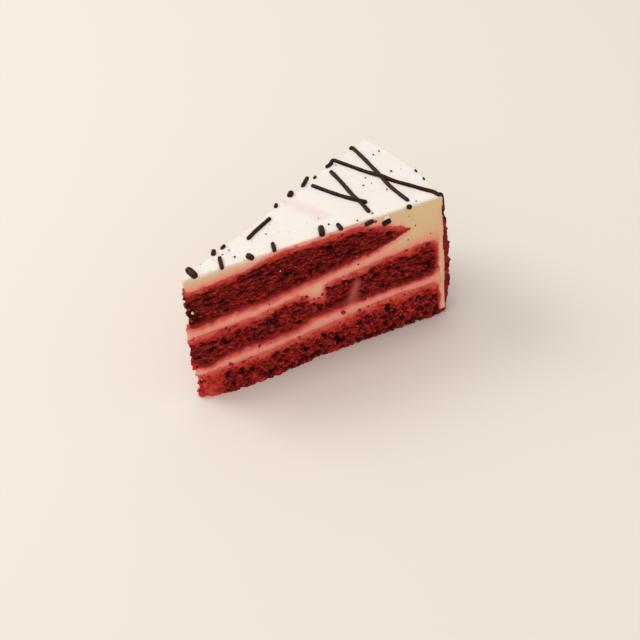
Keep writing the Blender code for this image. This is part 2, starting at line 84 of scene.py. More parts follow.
# Heights of the borders between the layers, as (distance from the cake's middle, height)
SPONGE_1_TOP = ((0.002, 0.0146), (0.035, 0.0150), (0.070, 0.0188), (0.110, 0.0222), (0.130, 0.0218))
SPONGE_2_UNDER = (
    (0.002, 0.0205), (0.010, 0.0182), (0.017, 0.0200), (0.030, 0.0213), (0.050, 0.0216),
    (0.056, 0.0224), (0.064, 0.0258), (0.130, 0.0266),
)
SPONGE_2_TOP = ((0.002, 0.0378), (0.030, 0.0382), (0.048, 0.0404), (0.090, 0.0456), (0.130, 0.0484))
SPONGE_3_UNDER = (
    (0.002, 0.0438), (0.010, 0.0433), (0.022, 0.0446), (0.040, 0.0452), (0.070, 0.0490),
    (0.100, 0.0538), (0.114, 0.0584), (0.118, 0.0590), (0.130, 0.0592),
)
SPONGE_3_TOP = (
    (0.002, 0.0645), (0.033, 0.0667), (0.052, 0.0703), (0.085, 0.0705), (0.098, 0.0670),
    (0.107, 0.0636), (0.114, 0.0597), (0.118, 0.0590), (0.130, 0.0592),
)

# The outer ends of the two lower sponges are rounded, and cream fills the corners.
ROUNDING_REACH = RIM_INNER + 0.0002
ROUND_1_TOP = 0.0064
ROUND_2_UNDER = 0.0090
ROUND_2_TOP = 0.0062
SPONGE_3_RADIUS = 0.1140

# Where each layer starts, at the tip of the slice
TIP_1, TIP_CREAM_1, TIP_2, TIP_CREAM_2, TIP_3, TIP_ICING = 0.0042, 0.0040, 0.0029, 0.0026, 0.0046, 0.0050
TIP_SET_BACK, TIP_SET_BACK_HEIGHT, TIP_SET_BACK_SHARE = 0.0030, 0.0080, 0.15

# How far the tip is rounded, how wide its end stays, and how ragged the sponge is there
TIP_ROUNDING, TIP_END_SHARE = 0.0020, 0.4
TIP_RAG, TIP_RAG_LENGTH = 0.0010, 0.0050
TIP_RAG_SIZE, TIP_RAG_FINE_SIZE, TIP_RAG_COARSE, TIP_RAG_FINE = 0.0024, 0.0010, 1.3, 0.6
NOTCH_HEIGHT, NOTCH_WIDTH, NOTCH_DEPTH = 0.0092, 0.0015, 0.0038

# The torn place in the middle sponge, and the bowed foot of the lowest one
POCKET_FROM, POCKET_TO, POCKET_DEPTH = 0.0560, 0.0708, 0.0062
POCKET_INNER_END, POCKET_OUTER_END, POCKET_FADE = 0.0105, 0.0032, 0.6
FOOT_FROM, FOOT_TO, FOOT_BOW, FOOT_HEIGHT = 0.0050, 0.0640, 0.0033, 0.0140
FOOT_LEAN = 0.75

# Unevenness that the solids have too: of the borders, the sponges' cut faces, the cream and the top
SLOW_SIZE, SLOW_DEPTH, SLOW_FROM, BORDER_SPACING = 0.030, 0.0007, 0.5, 0.099
CRUMB_SIZE, CRUMB_RELIEF = 0.0052, 0.00085
COARSE_SHARE, FINE_SHARE, FINE_SIZE, FINE_PLACE = 0.75, 0.45, 0.45, Vector((7.0, 3.0, 1.0))
CREAM_SIZE, CREAM_RELIEF = 0.0110, 0.00030
CREAM_STREAKS, CREAM_STREAK_SIZE, CREAM_STREAK_STRETCH = 0.00006, 0.0014, 0.35
TOP_SIZE, TOP_RELIEF = 0.045, 0.00025
RELIEF_WIDTH = 0.0060
EDGE_ROUNDING = 0.0016
CUT_ROUNDING, RIM_SHARPER = 0.0013, 0.96
ON_SKIN = 0.0001

# Parts of the icing's length, from the tip: the top, the turn at the rim, and down the rim
TOP_SHARE, TURN_SHARE = 0.66, 0.78
TURN_START, TURN_END = 0.1255, 0.0570
FLAT_SHARE, ROUND_SHARE = 0.2, 0.7

# Layers run this far into each other, and dip under each other's face there. Their borders wander, and
# lie a little lower than in the solids: under a sponge, and on top of one.
SPARE = 0.0019
UNDER_DROP, TOP_DROP = 0.0007, 0.0004
WANDER_SIZE, WANDER_DEPTH, WANDER_FINE_SIZE, WANDER_FINE_DEPTH = 0.0034, 0.00085, 0.0013, 0.00045
CREAM_LAP, RIM_LAP, ICING_PROUD, DIP_MOST, CREAM_JOINT = 0.0002, 0.0010, 0.00003, 0.0030, 0.1

# How red the cream is over a sponge, right at it and further on, next to the rim's crumbs, and where it
# dips under a sponge's face. Red reaches less far down near the rim, and hardly past a sponge's end.
STAIN_OVER, STAIN_OVER_REACH, STAIN_WIDE, STAIN_RIM, STAIN_SKIRT = 0.27, 0.0008, 0.37, 0.26, 0.74
STAIN_RIM_REACH, STAIN_PAST_END, STAIN_OUTER_LESS, STAIN_START = 0.0016, 4.0, 0.26, 0.0002
STAIN_OUTER_FROM, STAIN_OUTER_TO = 0.050, 0.105

# How yellow the cream is at its cut edge, and how far down painted light from the top reaches before it
# gets its full colour
EDGE_CUT, LIT_EDGE_DEPTH, LIT_EDGE_DEPTH_LESS = 0.3, 0.0030, 0.0013

# The highest sponge stains less far up, and less of all where it tapers out towards the rim
ICING_STAIN_REACH, ICING_STAIN_LESS, ICING_STAIN_FROM, ICING_STAIN_TO = 0.72, 0.40, 0.020, 0.045
SPONGE_3_TAPER, TAPER_LESS = 0.018, 0.7

# Cream is washed clean at the very tip. It falls off under a sponge's face along a parabola.
WASHED_SHARE, WASHED_LENGTH = 0.5, 0.004
DIP_SLOPE, DIP_CURVE = 1.2, 1500.0

# The meshes' cells are even up to this share of a layer's length, and get finer over the rest of it
EVEN_SHARE, FINE_LENGTH = 0.92, 0.0095
CELLS_ACROSS = 6
ICING_CELLS, COAT_CELLS = (430, 44, 26), (132, 120, 4)

# The coat of crumbs on the rim, and the larger crumbs in it
COAT_DEPTH, COAT_TOP, COAT_BLUNTNESS = 0.0018, 0.0655, 0.85
COAT_SIZE, COAT_RELIEF = 0.0065, 0.00055
CRUMB_SEED = 11
CRUMB_ROWS, CRUMBS_PER_ROW = 8, 7
CRUMB_RADIUS_MIN, CRUMB_RADIUS_MAX, CRUMB_END_SHARE = 0.0024, 0.0036, 0.6
CRUMB_FLATNESS = 0.58
CRUMB_STAGGER, CRUMB_JITTER, CRUMB_SWAY = 0.3, 0.35, 0.2
CRUMB_BAND = (0.0065, 0.0600)
CRUMB_SINK = 0.0017
COAT_LUMP_SIZE, COAT_LUMP_HEIGHT, COAT_LUMP_WIDTH = 0.0036, 0.0020, 0.72
COAT_BEND, COAT_BEND_SIZE = 0.35, 0.0014
COAT_GRIT, COAT_GRIT_SIZE = 0.00055, 0.0010
COAT_HANG, COAT_SIDE_GAP, COAT_BACKING, COAT_SINK, COAT_SWELL_OUT = 0.0006, 0.001, 0.0005, 0.0004, 0.0007
COAT_SIDE_RAG, COAT_SIDE_RAG_SIZE, COAT_SIDE_PROUD = 0.0006, 0.0014, 0.00005

# Small crumbs: how many there are at the rim's foot, at the foot of the tip and along its edge, how many
# fine specks lie on the top, and the seeds of their random places
FOOT_CRUMBS, TIP_FOOT_CRUMBS, TIP_EDGE_CRUMBS, FINE_SPECKS = 480, 34, 70, 60
DOT_SEED, SPECK_SEED, EDGE_SEED, SMALL_SEED, FOOT_SEED = 3, 5, 17, 23, 29
DOT_PROUD = 0.0004
FOOT_BAND, SIDE_MARGIN, TIP_CRUMB_RADIUS = 0.0066, 0.012, 0.0044
SHED_CRUMB_FLATNESS, SHED_CRUMB_ROUGHNESS = 0.8, 0.45

# Chocolate on top, as (distance along the -Y cut edge from the cake's middle, distance in from it)
STRANDS = (
    (
        (0.1075, 0.0512), (0.1090, 0.0516), (0.1105, 0.0410), (0.1115, 0.0280), (0.1125, 0.0160),
        (0.1150, 0.0030),
    ),
    (
        (0.0916, 0.0440), (0.0945, 0.0452), (0.0969, 0.0474), (0.0992, 0.0440), (0.1027, 0.0385),
        (0.1107, 0.0265), (0.1167, 0.0180), (0.1237, 0.0090), (0.1277, 0.0045), (0.1290, 0.0012),
    ),
    ((0.0926, 0.0408), (0.0937, 0.0290), (0.0945, 0.0180), (0.0955, 0.0110), (0.0962, 0.0038)),
    ((0.0805, 0.0352), (0.0866, 0.0252), (0.0947, 0.0142), (0.0980, 0.0110)),
    ((0.0401, 0.0130), (0.0480, 0.0180), (0.0550, 0.0222)),
)
DRIP_STRAND, DRIP_TURN, DRIP_TO = 1, 0.0700, 0.0620
STRAND_LIFT, HOP_SHARE = 0.25, 0.5
STRAND_UNEVEN, STRAND_UNEVEN_SIZE, STRAND_WANDER, STRAND_WANDER_SIZE = 0.13, 0.004, 0.00035, 0.011
SHORT_PIECES = (
    ((0.0093, 0.0056), (0.0105, 0.0003), 0.0034),
    ((0.0246, 0.0070), (0.0230, -0.0004), 0.0021),
    ((0.0239, 0.0124), (0.0228, 0.0102), 0.0023),
    ((0.0276, 0.0124), (0.0294, 0.0136), 0.0017),
    ((0.0362, 0.0021), (0.0373, -0.0003), 0.0028),
    ((0.0491, 0.0047), (0.0480, -0.0002), 0.0021),
    ((0.0610, 0.0296), (0.0599, 0.0281), 0.0018),
    ((0.0702, 0.0340), (0.0687, 0.0324), 0.0028),
    ((0.0812, 0.0409), (0.0767, 0.0361), 0.0021),
    ((0.0849, 0.0401), (0.0838, 0.0391), 0.0014),
    ((0.0724, 0.0045), (0.0710, -0.0001), 0.0031),
    ((0.0800, 0.0030), (0.0802, -0.0006), 0.0022),
    ((0.1277, 0.0225), (0.1277, 0.0210), 0.0010),
    ((0.1284, 0.0154), (0.1283, 0.0140), 0.0010),
)
FACE_PIECES = (
    ((0.0921, 0.0698), (0.0956, 0.0705), 0.0022),
    ((0.1006, 0.0668), (0.1038, 0.0675), 0.0026),
    ((0.1133, 0.0719), (0.1142, 0.0714), 0.0024),
)
PIECE_SINK, PIECE_ROUND_END = 0.35, 0.2
PIECE_SIDE_BLUNTNESS, PIECE_END_BLUNTNESS, PIECE_UNEVEN, PIECE_UNEVEN_SIZE = 0.35, 0.55, 0.08, 0.004

# Small crumbs: on the top as above, and on the -Y cut face as (along the face, height, radius). Then the
# red crumbs in the cream of that face, and the bits of cream on it.
TOP_SPECKS = (
    (0.1155, 0.0425), (0.1190, 0.0438), (0.1175, 0.0270), (0.1050, 0.0282), (0.1058, 0.0232),
    (0.1018, 0.0235), (0.1100, 0.0155), (0.0967, 0.0435), (0.0265, 0.0085), (0.0302, 0.0100),
    (0.0308, 0.0045), (0.0490, 0.0125), (0.0742, 0.0115), (0.0765, 0.0053), (0.0890, 0.0016),
    (0.0970, 0.0030), (0.1182, 0.0016),
)
FACE_SPECKS = (
    (0.1125, 0.0525, 0.00034), (0.1165, 0.0595, 0.00036), (0.1240, 0.0518, 0.00032),
    (0.0872, 0.0480, 0.00046), (0.0818, 0.0485, 0.00030), (0.0425, 0.0422, 0.00046),
    (0.0975, 0.0515, 0.00030), (0.0350, 0.0185, 0.00030), (0.0410, 0.0188, 0.00034),
    (0.1080, 0.0240, 0.00028), (0.1135, 0.0660, 0.00022),
)
CREAM_CRUMBS = (
    (0.0778, 0.0222, 0.0012), (0.0860, 0.0203, 0.0009), (0.0355, 0.0195, 0.0006), (0.0905, 0.0205, 0.0005),
    (0.0970, 0.0695, 0.0008), (0.0885, 0.0262, 0.0011), (0.0640, 0.0365, 0.0006), (0.0665, 0.0360, 0.0005),
)
CREAM_DOTS = (
    (0.0065, 0.0525, 0.0007), (0.0495, 0.0597, 0.0003), (0.1018, 0.0697, 0.0009), (0.1030, 0.0700, 0.0008),
)

# Larger pores on the -Y cut face, as (along the face, height, radius)
LARGE_PORES = (
    (0.0910, 0.0368, 0.0013), (0.0952, 0.0372, 0.0017), (0.1228, 0.0455, 0.0015), (0.1180, 0.0392, 0.0012),
    (0.1222, 0.0318, 0.0015), (0.0738, 0.0630, 0.0017), (0.0675, 0.0535, 0.0013), (0.0300, 0.0065, 0.0015),
    (0.0268, 0.0128, 0.0012), (0.1075, 0.0062, 0.0011), (0.0560, 0.0105, 0.0012), (0.0800, 0.0470, 0.0010),
    (0.1030, 0.0600, 0.0015), (0.0125, 0.0265, 0.0012), (0.0410, 0.0100, 0.0011), (0.0745, 0.0055, 0.0013),
)

# What tells the sponges apart: distance between pores, how flat these are, how many cells are open, the
# greatest thickness, and how deep cream has soaked in along the upper edge, near the tip and near the rim
SpongeLook = namedtuple("SpongeLook", "pores stretch openness thickest film_inner film_outer")
BOTTOM_LOOK = SpongeLook(0.0038, 1.25, 0.68, 0.0222, 0.0054, 0.0068)
MIDDLE_LOOK = SpongeLook(0.0042, 2.30, 0.56, 0.0205, 0.0053, 0.0044)
TOP_LOOK = SpongeLook(0.0060, 4.60, 0.58, 0.0225, 0.0030, 0.0045)

# The same for their finish: size of the fine crumbs, how flat these are, how strongly soaked crumb shows,
# and how much brighter than the plain crumb the sponge is
OPEN_CRUMB = (0.0017, 1.2, 0.85, 0.14)
MIDDLE_CRUMB = (0.0015, 1.7, 0.90, 0.06)
CLOSE_CRUMB = (0.0015, 2.2, 0.52, 0.0)

# Pores of the crumb: how far their cells bend, how wide their walls are, and how far apart small ones lie
PORE_BEND, PORE_FINE_BEND, PORE_OPENING, PORE_WALL = 0.38, 0.16, 0.42, 0.22
SMALL_PORE_SIZE, SMALL_PORE_DEPTH, SMALL_PORE_WALL = 0.42, 0.55, 0.6
LARGE_PORE_DEPTH, LARGE_PORE_HEIGHT = 0.0018, 1.25
GRIT_SIZE, GRIT_FINE_SIZE, GRIT_COARSE, GRIT_FINE = 0.0017, 0.0008, 0.9, 0.6
SIDE_STRAY, SIDE_STRAY_SIZE = 0.00025, 0.0013

# Where a sponge's face turns calm and smooth: where cream soaked in, under the smear and near its borders
SOAKED_CALM, SMEARED_CALM, FOOT_CALM = 0.82, 0.75, 0.85
CALM_FROM, BORDER_FADE, BORDER_PORES, BORDER_SLOPE = 0.0004, 0.0022, 0.30, 0.8
CRUMB_PROUD = 0.0003

# How far cream has soaked in from above, from the rim, and at the tips of the two lower sponges, and how
# high the red lower edge is
FILM_FROM, FILM_TO = 0.020, 0.060
FILM_STRAY, FILM_STRAY_SIZE, FILM_FINE_STRAY, FILM_FINE_SIZE = 0.0015, 0.0050, 0.0008, 0.0017
END_FILM, END_FILM_DEPTH, END_FILM_LOW, END_FILM_HIGH = 0.55, 0.0045, 0.0030, 0.0060
TIP_FILM_1, TIP_FILM_1_LENGTH = 0.66, 0.026
TIP_FILM_2, TIP_FILM_2_LENGTH, TIP_FILM_2_HEIGHT = 0.46, 0.024, 0.014
GLOW_HEIGHT, GLOW_TIP_FROM, GLOW_TIP_TO = 0.0031, 0.001, 0.011

# The pink stain on the top, from point to point, and the cream smear on the middle sponge
BLUSH_LINE, BLUSH_WIDTH = ((0.0655, 0.0290), (0.0757, 0.0120)), 0.0052
BLUSH_STRAY, BLUSH_STRAY_SIZE = 0.0022, 0.007
SMEAR_FROM, SMEAR_TO = (0.0816, 0.0238), (0.0864, 0.0402)
SMEAR_WIDTH, SMEAR_TAPER, SMEAR_MOST = 0.0068, 0.72, 0.85

# Grain of the crumb: its wide and fine parts against its main one, and where it counts as bright and dark
GRAIN_WIDE_SCALE, GRAIN_FINE_SCALE, GRAIN_BRIGHT_AT, GRAIN_DARK_AT = 0.37, 3.1, 0.64, 0.38
CREAM_GRAIN_SIZE, LOOSE_GRAIN_SIZE = 0.0045, 0.0013

# How strongly the mesh's own values show in the sponge's colour, and from where to where each colour runs
# The ridge share paints a highlight on raised crumbs and pore walls.
RIDGE_HIGHLIGHT_SHARE, GRAIN_BRIGHT_SHARE, GRAIN_DARK_SHARE, SMEAR_SHARE = 0.80, 0.26, 0.42, 0.95
FILM_PATCH, FILM_BREAK_UP, DAMP_FULL, SOAK_START = 0.0017, 0.60, 0.45, 0.38
GLOW_TURN, GLOW_FULL = 0.86, 1.02

# The same for the cream
STAIN_PATCH, STAIN_BREAK_UP, PINK_FULL, RED_FULL, BLUSH_SHARE = 0.0030, 0.22, 0.36, 0.80, 0.85

HALF_ANGLE = math.pi / SLICES_PER_CAKE
NEAR_OUTWARD = Vector((-math.sin(HALF_ANGLE), -math.cos(HALF_ANGLE), 0.0))
FAR_OUTWARD = Vector((-math.sin(HALF_ANGLE), math.cos(HALF_ANGLE), 0.0))
NEAR_EDGE = Vector((math.cos(HALF_ANGLE), -math.sin(HALF_ANGLE), 0.0))
TIP_OUTWARD = Vector((-1.0, 0.0, 0.0))

# What the camera and the lights are turned to, and the rest of the stage
CAMERA_AIM, SENSOR_WIDTH = Vector((-0.0153, -0.0332, 0.0424)), 36.0
LIGHT_AIM = Vector((0.0, 0.0, 0.03))
SURROUNDINGS_COLOUR, FLOOR_HALF_WIDTH = (1.0, 0.95, 0.89), 3.0


# Settings that a user would change

class CakeSpongeSettings(bpy.types.PropertyGroup):
    """Crumb and colours of the red sponge."""

    cell: FloatProperty(
        name="Mesh cell", description="Size of the mesh cells on the cut faces",
        default=0.00034, min=0.0002, precision=5, unit="LENGTH",
    )
    pore_depth: FloatProperty(
        name="Pore depth", description="How deep the pores reach into the crumb",
        default=0.0015, min=0.0, precision=4, unit="LENGTH",
    )
    grit: FloatProperty(
        name="Grit", description="Height of the fine crumbs between the pores",
        default=0.00042, min=0.0, precision=5, unit="LENGTH",
    )
    # Painted shade: the crumb in its pores is darkened towards this colour, and the random dark grain too.
    dark: FloatVectorProperty(
        name="Dark crumb", description="Colour of the crumb in its pores",
        default=(0.016, 0.0011, 0.0011), size=3, subtype="COLOR", min=0.0, max=1.0,
    )
    crumb: FloatVectorProperty(
        name="Crumb", description="Colour of the cut crumb",
        default=(0.260, 0.0118, 0.0100), size=3, subtype="COLOR", min=0.0, max=1.0,
    )
    # Painted highlight: crumbs that stand out are lightened towards this colour, as are the random bright
    # grain and the loose crumbs.
    bright: FloatVectorProperty(
        name="Bright crumb", description="Colour of the crumbs that stand out",
        default=(0.82, 0.050, 0.042), size=3, subtype="COLOR", min=0.0, max=1.0,
    )
    vivid: FloatVectorProperty(
        name="Damp crumb", description="Colour of the crumb that cream has made damp",
        default=(0.83, 0.058, 0.041), size=3, subtype="COLOR", min=0.0, max=1.0,
    )
    soaked: FloatVectorProperty(
        name="Soaked crumb", description="Colour of the crumb that cream has soaked",
        default=(0.97, 0.205, 0.158), size=3, subtype="COLOR", min=0.0, max=1.0,
    )
    glow: FloatVectorProperty(
        name="Lower edge", description="Colour of a sponge along its lower edge, over cream",
        default=(0.43, 0.027, 0.021), size=3, subtype="COLOR", min=0.0, max=1.0,
    )
    lowest: FloatVectorProperty(
        name="Lowest edge", description="Colour of a sponge right at the cream under it",
        default=(0.65, 0.058, 0.042), size=3, subtype="COLOR", min=0.0, max=1.0,
    )
    smear: FloatVectorProperty(
        name="Smeared crumb", description="Colour of the crumb that has cream smeared over it",
        default=(0.78, 0.165, 0.13), size=3, subtype="COLOR", min=0.0, max=1.0,
    )


class CakeCreamSettings(bpy.types.PropertyGroup):
    """Finish and colours of the cream."""

    cell: FloatProperty(
        name="Mesh cell", description="Size of the mesh cells on the cream's cut faces",
        default=0.00042, min=0.0002, precision=5, unit="LENGTH",
    )
    stain_under: FloatProperty(
        name="Stain under a sponge", description="How far red has run down from a sponge into the cream",
        default=0.0042, min=0.0001, precision=4, unit="LENGTH",
    )
    stain_over: FloatProperty(
        name="Stain over a sponge", description="How far red has risen from a sponge into the cream",
        default=0.0055, min=0.0001, precision=4, unit="LENGTH",
    )
    # The spread cream is painted whiter, as if lit from above; the cut cream is partly its own yellower
    # colour and partly painted shade and warm bounce light.
    outside: FloatVectorProperty(
        name="Spread cream", description="Colour of the cream on the top and the rim",
        default=(0.90, 0.862, 0.838), size=3, subtype="COLOR", min=0.0, max=1.0,
    )
    cut: FloatVectorProperty(
        name="Cut cream", description="Colour of the cream on the cut faces",
        default=(0.850, 0.625, 0.345), size=3, subtype="COLOR", min=0.0, max=1.0,
    )
    pink: FloatVectorProperty(
        name="Stained cream", description="Colour of cream with a little red in it",
        default=(0.92, 0.335, 0.262), size=3, subtype="COLOR", min=0.0, max=1.0,
    )
    red: FloatVectorProperty(
        name="Red cream", description="Colour of cream close to the sponge",
        default=(0.77, 0.102, 0.075), size=3, subtype="COLOR", min=0.0, max=1.0,
    )
    deep: FloatVectorProperty(
        name="Soaked cream", description="Colour of cream right under the sponge",
        default=(0.47, 0.025, 0.018), size=3, subtype="COLOR", min=0.0, max=1.0,
    )
    blush: FloatVectorProperty(
        name="Pink band", description="Colour of the faint band on the top",
        default=(0.87, 0.72, 0.71), size=3, subtype="COLOR", min=0.0, max=1.0,
    )


class CakeToppingSettings(bpy.types.PropertyGroup):
    """Crumbs on the rim and chocolate on the top."""

    strand_radius: FloatProperty(
        name="Strand radius", description="Half the thickness of the chocolate strands",
        default=0.0010, min=0.0001, precision=5, unit="LENGTH",
    )
    small_crumbs: IntProperty(
        name="Small crumbs", description="Number of small crumbs in the rim's coat",
        default=1300, min=0,
    )
    edge_crumbs: IntProperty(
        name="Edge crumbs", description="Number of loose crumbs along the sponges' cut edges",
        default=520, min=0,
    )
    chocolate: FloatVectorProperty(
        name="Chocolate", description="Colour of the chocolate",
        default=(0.026, 0.0068, 0.0044), size=3, subtype="COLOR", min=0.0, max=1.0,
    )


class CakeStageSettings(bpy.types.PropertyGroup):
    """Camera, floor and lights."""

    lens: FloatProperty(
        name="Lens", description="Focal length of the camera",
        default=0.0956, unit="CAMERA", precision=4,
    )
    distance: FloatProperty(
        name="Distance", description="From the camera to the point that it looks at",
        default=0.7596, unit="LENGTH", precision=4,
    )
    azimuth: FloatProperty(
        name="Azimuth", description="Turn of the camera round the slice; 0 looks along +Y",
        default=math.radians(-32.23), subtype="ANGLE",
    )
    elevation: FloatProperty(
        name="Elevation", description="Height of the camera over the horizon",
        default=math.radians(42.55), subtype="ANGLE",
    )
    roll: FloatProperty(
        name="Roll", description="Turn of the camera about its own axis",
        default=math.radians(-5.70), subtype="ANGLE",
    )
    floor_colour: FloatVectorProperty(
        name="Floor", description="Colour of the floor",
        default=(0.85, 0.80, 0.745), size=3, subtype="COLOR", min=0.0, max=1.0,
    )
    key_power: FloatProperty(
        name="Key light", description="Power of the large light behind the slice",
        default=7.6, unit="POWER",
    )
    fill_power: FloatProperty(
        name="Fill light", description="Power of the weak light in front of the slice",
        default=2.0, unit="POWER",
    )
    overhead_power: FloatProperty(
        name="Overhead light", description="Power of the soft light over the slice",
        default=4.2, unit="POWER",
    )
    sky: FloatProperty(
        name="Surroundings", description="Brightness of the light from all round",
        default=0.60, min=0.0,
    )


class CakeSliceSettings(bpy.types.PropertyGroup):
    """All settings of the slice."""

    sponge: PointerProperty(type=CakeSpongeSettings, name="Sponge")
    cream: PointerProperty(type=CakeCreamSettings, name="Cream")
    topping: PointerProperty(type=CakeToppingSettings, name="Toppings")
    stage: PointerProperty(type=CakeStageSettings, name="Stage")


# Places

def polar(radius, across, height):
    """A point of the slice: across runs from 0 at the -Y cut face to 1 at the +Y one."""
    angle = (2.0 * across - 1.0) * HALF_ANGLE
    return Vector((radius * math.cos(angle) - ORIGIN_RADIUS, radius * math.sin(angle), height))


def across_of(place):
    """How far across the slice a place lies, 0 to 1 as above."""
    return 0.5 + 0.5 * math.atan2(place.y, place.x + ORIGIN_RADIUS) / HALF_ANGLE


def from_cut_edge(along, inward, height):
    """A point given along the -Y cut edge and in from it."""
    return Vector((-ORIGIN_RADIUS, 0.0, height)) + NEAR_EDGE * along - NEAR_OUTWARD * inward


def smooth_step(low, high, value):
    """0 below low, 1 above high, with an even turn between."""
    share = min(max((value - low) / (high - low), 0.0), 1.0)
    return share * share * (3.0 - 2.0 * share)


def line_slopes(points):
    """Slopes at a line's points that keep the smooth line between its neighbours' heights."""
    steps = [(b[1] - a[1]) / (b[0] - a[0]) for a, b in zip(points, points[1:])]
    inner = [2.0 * a * b / (a + b) if a * b > 0.0 else 0.0 for a, b in zip(steps, steps[1:])]
    return [steps[0]] + inner + [steps[-1]]


@lru_cache(maxsize=None)
def line_height(points, radius):
    """Height of the smooth line through the points at this distance from the cake's middle."""
    slopes = line_slopes(points)
    last = len(points) - 2
    index = next((i for i in range(last) if radius < points[i + 1][0]), last)
    (start, low), (end, high) = points[index], points[index + 1]
    length = end - start
    share = (radius - start) / length
    ease = share * share * (3.0 - 2.0 * share)
    lean_in = share * (1.0 - share) ** 2 * length * slopes[index]
    lean_out = share * share * (share - 1.0) * length * slopes[index + 1]
    return low + (high - low) * ease + lean_in + lean_out


def rounding(radius, size):
    """How far a rounded outer end has dropped, or risen, at this distance from the middle."""
    into = max(radius - (ROUNDING_REACH - size), 0.0)
    return size - math.sqrt(max(size * size - into * into, 0.0))


def pocket(radius, across):
    """Depth of the torn place, which fades away from the -Y cut face."""
    inside = smooth_step(POCKET_FROM, POCKET_FROM + POCKET_INNER_END, radius)
    inside *= 1.0 - smooth_step(POCKET_TO - POCKET_OUTER_END, POCKET_TO, radius)
    return POCKET_DEPTH * inside * (1.0 - smooth_step(0.0, POCKET_FADE, across))


def slow_unevenness(radius, across, level):
    """How far a border rises or falls over a few centimetres, away from the -Y cut face."""
    place = polar(radius, across, level * BORDER_SPACING)
    return SLOW_DEPTH * smooth_step(0.0, SLOW_FROM, across) * noise.noise(place / SLOW_SIZE)


def underside(radius, across):
    """Height of the slice's flat underside."""
    return 0.0


@lru_cache(maxsize=None)
def sponge_1_top(radius, across):
    """Height of the border between the lowest sponge and the lower filling."""
    level = line_height(SPONGE_1_TOP, radius) + slow_unevenness(radius, across, 1)
    return level - rounding(radius, ROUND_1_TOP)


@lru_cache(maxsize=None)
def sponge_2_under(radius, across):
    """Height of the border between the lower filling and the middle sponge."""
    level = line_height(SPONGE_2_UNDER, radius) + slow_unevenness(radius, across, 2)
    return level + rounding(radius, ROUND_2_UNDER)


@lru_cache(maxsize=None)
def sponge_2_top(radius, across):
    """Height of the border between the middle sponge and the upper filling."""
    level = line_height(SPONGE_2_TOP, radius) + slow_unevenness(radius, across, 3)
    return level - rounding(radius, ROUND_2_TOP) - pocket(radius, across)


@lru_cache(maxsize=None)
def sponge_3_under(radius, across):
    """Height of the border between the upper filling and the highest sponge."""
    return line_height(SPONGE_3_UNDER, radius) + slow_unevenness(radius, across, 4)


@lru_cache(maxsize=None)
def sponge_3_top(radius, across):
    """Height of the border between the highest sponge and the icing."""
    return line_height(SPONGE_3_TOP, radius) + slow_unevenness(radius, across, 4)


SPONGE_BODIES = (
    (underside, sponge_1_top, RIM_INNER - RIM_LAP),
    (sponge_2_under, sponge_2_top, RIM_INNER - RIM_LAP),
    (sponge_3_under, sponge_3_top, SPONGE_3_RADIUS),
)


@lru_cache(maxsize=None)
def lean(border, radius, across):
    """How much longer a border's slope is than its run, from 1 where it is level."""
    reach = 0.0006
    rise = border(radius + reach, across) - border(radius - reach, across)
    return math.sqrt(1.0 + (rise / (2.0 * reach)) ** 2)


def icing_top(radius, across):
    """Height of the icing's upper surface."""
    return CAKE_HEIGHT + TOP_RELIEF * noise.noise(polar(radius, across, 0.0) / TOP_SIZE)


def coat_swell(height):
    """How thick the coat of crumbs is at a height, as a share of its full thickness."""
    share = min(max((height - RIM_ICING_FOOT) / (COAT_TOP - RIM_ICING_FOOT), 0.0), 1.0)
    return math.sin(math.pi * share) ** COAT_BLUNTNESS


def rim_wall(height, across):
    """Distance of the rim's outside from the cake's middle, with the coat of crumbs on it."""
    uneven = COAT_RELIEF * noise.noise(polar(CAKE_RADIUS, across, height) / COAT_SIZE)
    return CAKE_RADIUS + coat_swell(height) * (COAT_DEPTH + uneven)


def tip_set_back(share, height):
    """How far the foot of the slice's tip lies back."""
    near_tip = 1.0 - smooth_step(0.0, TIP_SET_BACK_SHARE, share)
    return TIP_SET_BACK * near_tip * max(1.0 - height / TIP_SET_BACK_HEIGHT, 0.0)


def foot_bow(radius, across, height):
    """How far the foot of the -Y cut face stands out."""
    share = (radius - FOOT_FROM) / (FOOT_TO - FOOT_FROM)
    if across > ON_SKIN or not 0.0 < share < 1.0 or height > FOOT_HEIGHT:
        return 0.0
    return FOOT_BOW * math.sin(math.pi * share ** FOOT_LEAN) * (1.0 - height / FOOT_HEIGHT) ** 2


def outward(share, across):
    """Which way the slice's skin looks on a cut face or at the tip. It has no length elsewhere."""
    way = Vector()
    if across < ON_SKIN:
        way += NEAR_OUTWARD
    if across > 1.0 - ON_SKIN:
        way += FAR_OUTWARD
    if share < ON_SKIN:
        way += TIP_OUTWARD
    return way.normalized()


def tip_rag(from_tip, height):
    """How far the sponge's ragged tip stands out or lies back at a height."""
    fade = 1.0 - smooth_step(0.0, TIP_RAG_LENGTH, from_tip)
    coarse = noise.noise(Vector((0.3, 0.7, height / TIP_RAG_SIZE)))
    fine = noise.noise(Vector((0.1, 0.4, height / TIP_RAG_FINE_SIZE)))
    return TIP_RAG * fade * (TIP_RAG_COARSE * coarse + TIP_RAG_FINE * fine)


def tip_notch(from_tip, height):
    """How far the lowest sponge's tip lies back where a bit has broken off."""
    fade = 1.0 - smooth_step(0.0, TIP_RAG_LENGTH, from_tip)
    return NOTCH_DEPTH * fade * math.exp(-((height - NOTCH_HEIGHT) / NOTCH_WIDTH) ** 2)


def tip_rounded(from_tip, across):
    """The place across the slice, drawn towards the middle where the tip is rounded."""
    into = min(max(from_tip / TIP_ROUNDING, 0.0), 1.0)
    wide = TIP_END_SHARE + (1.0 - TIP_END_SHARE) * math.sqrt(1.0 - (1.0 - into) ** 2)
    return 0.5 + (across - 0.5) * wide


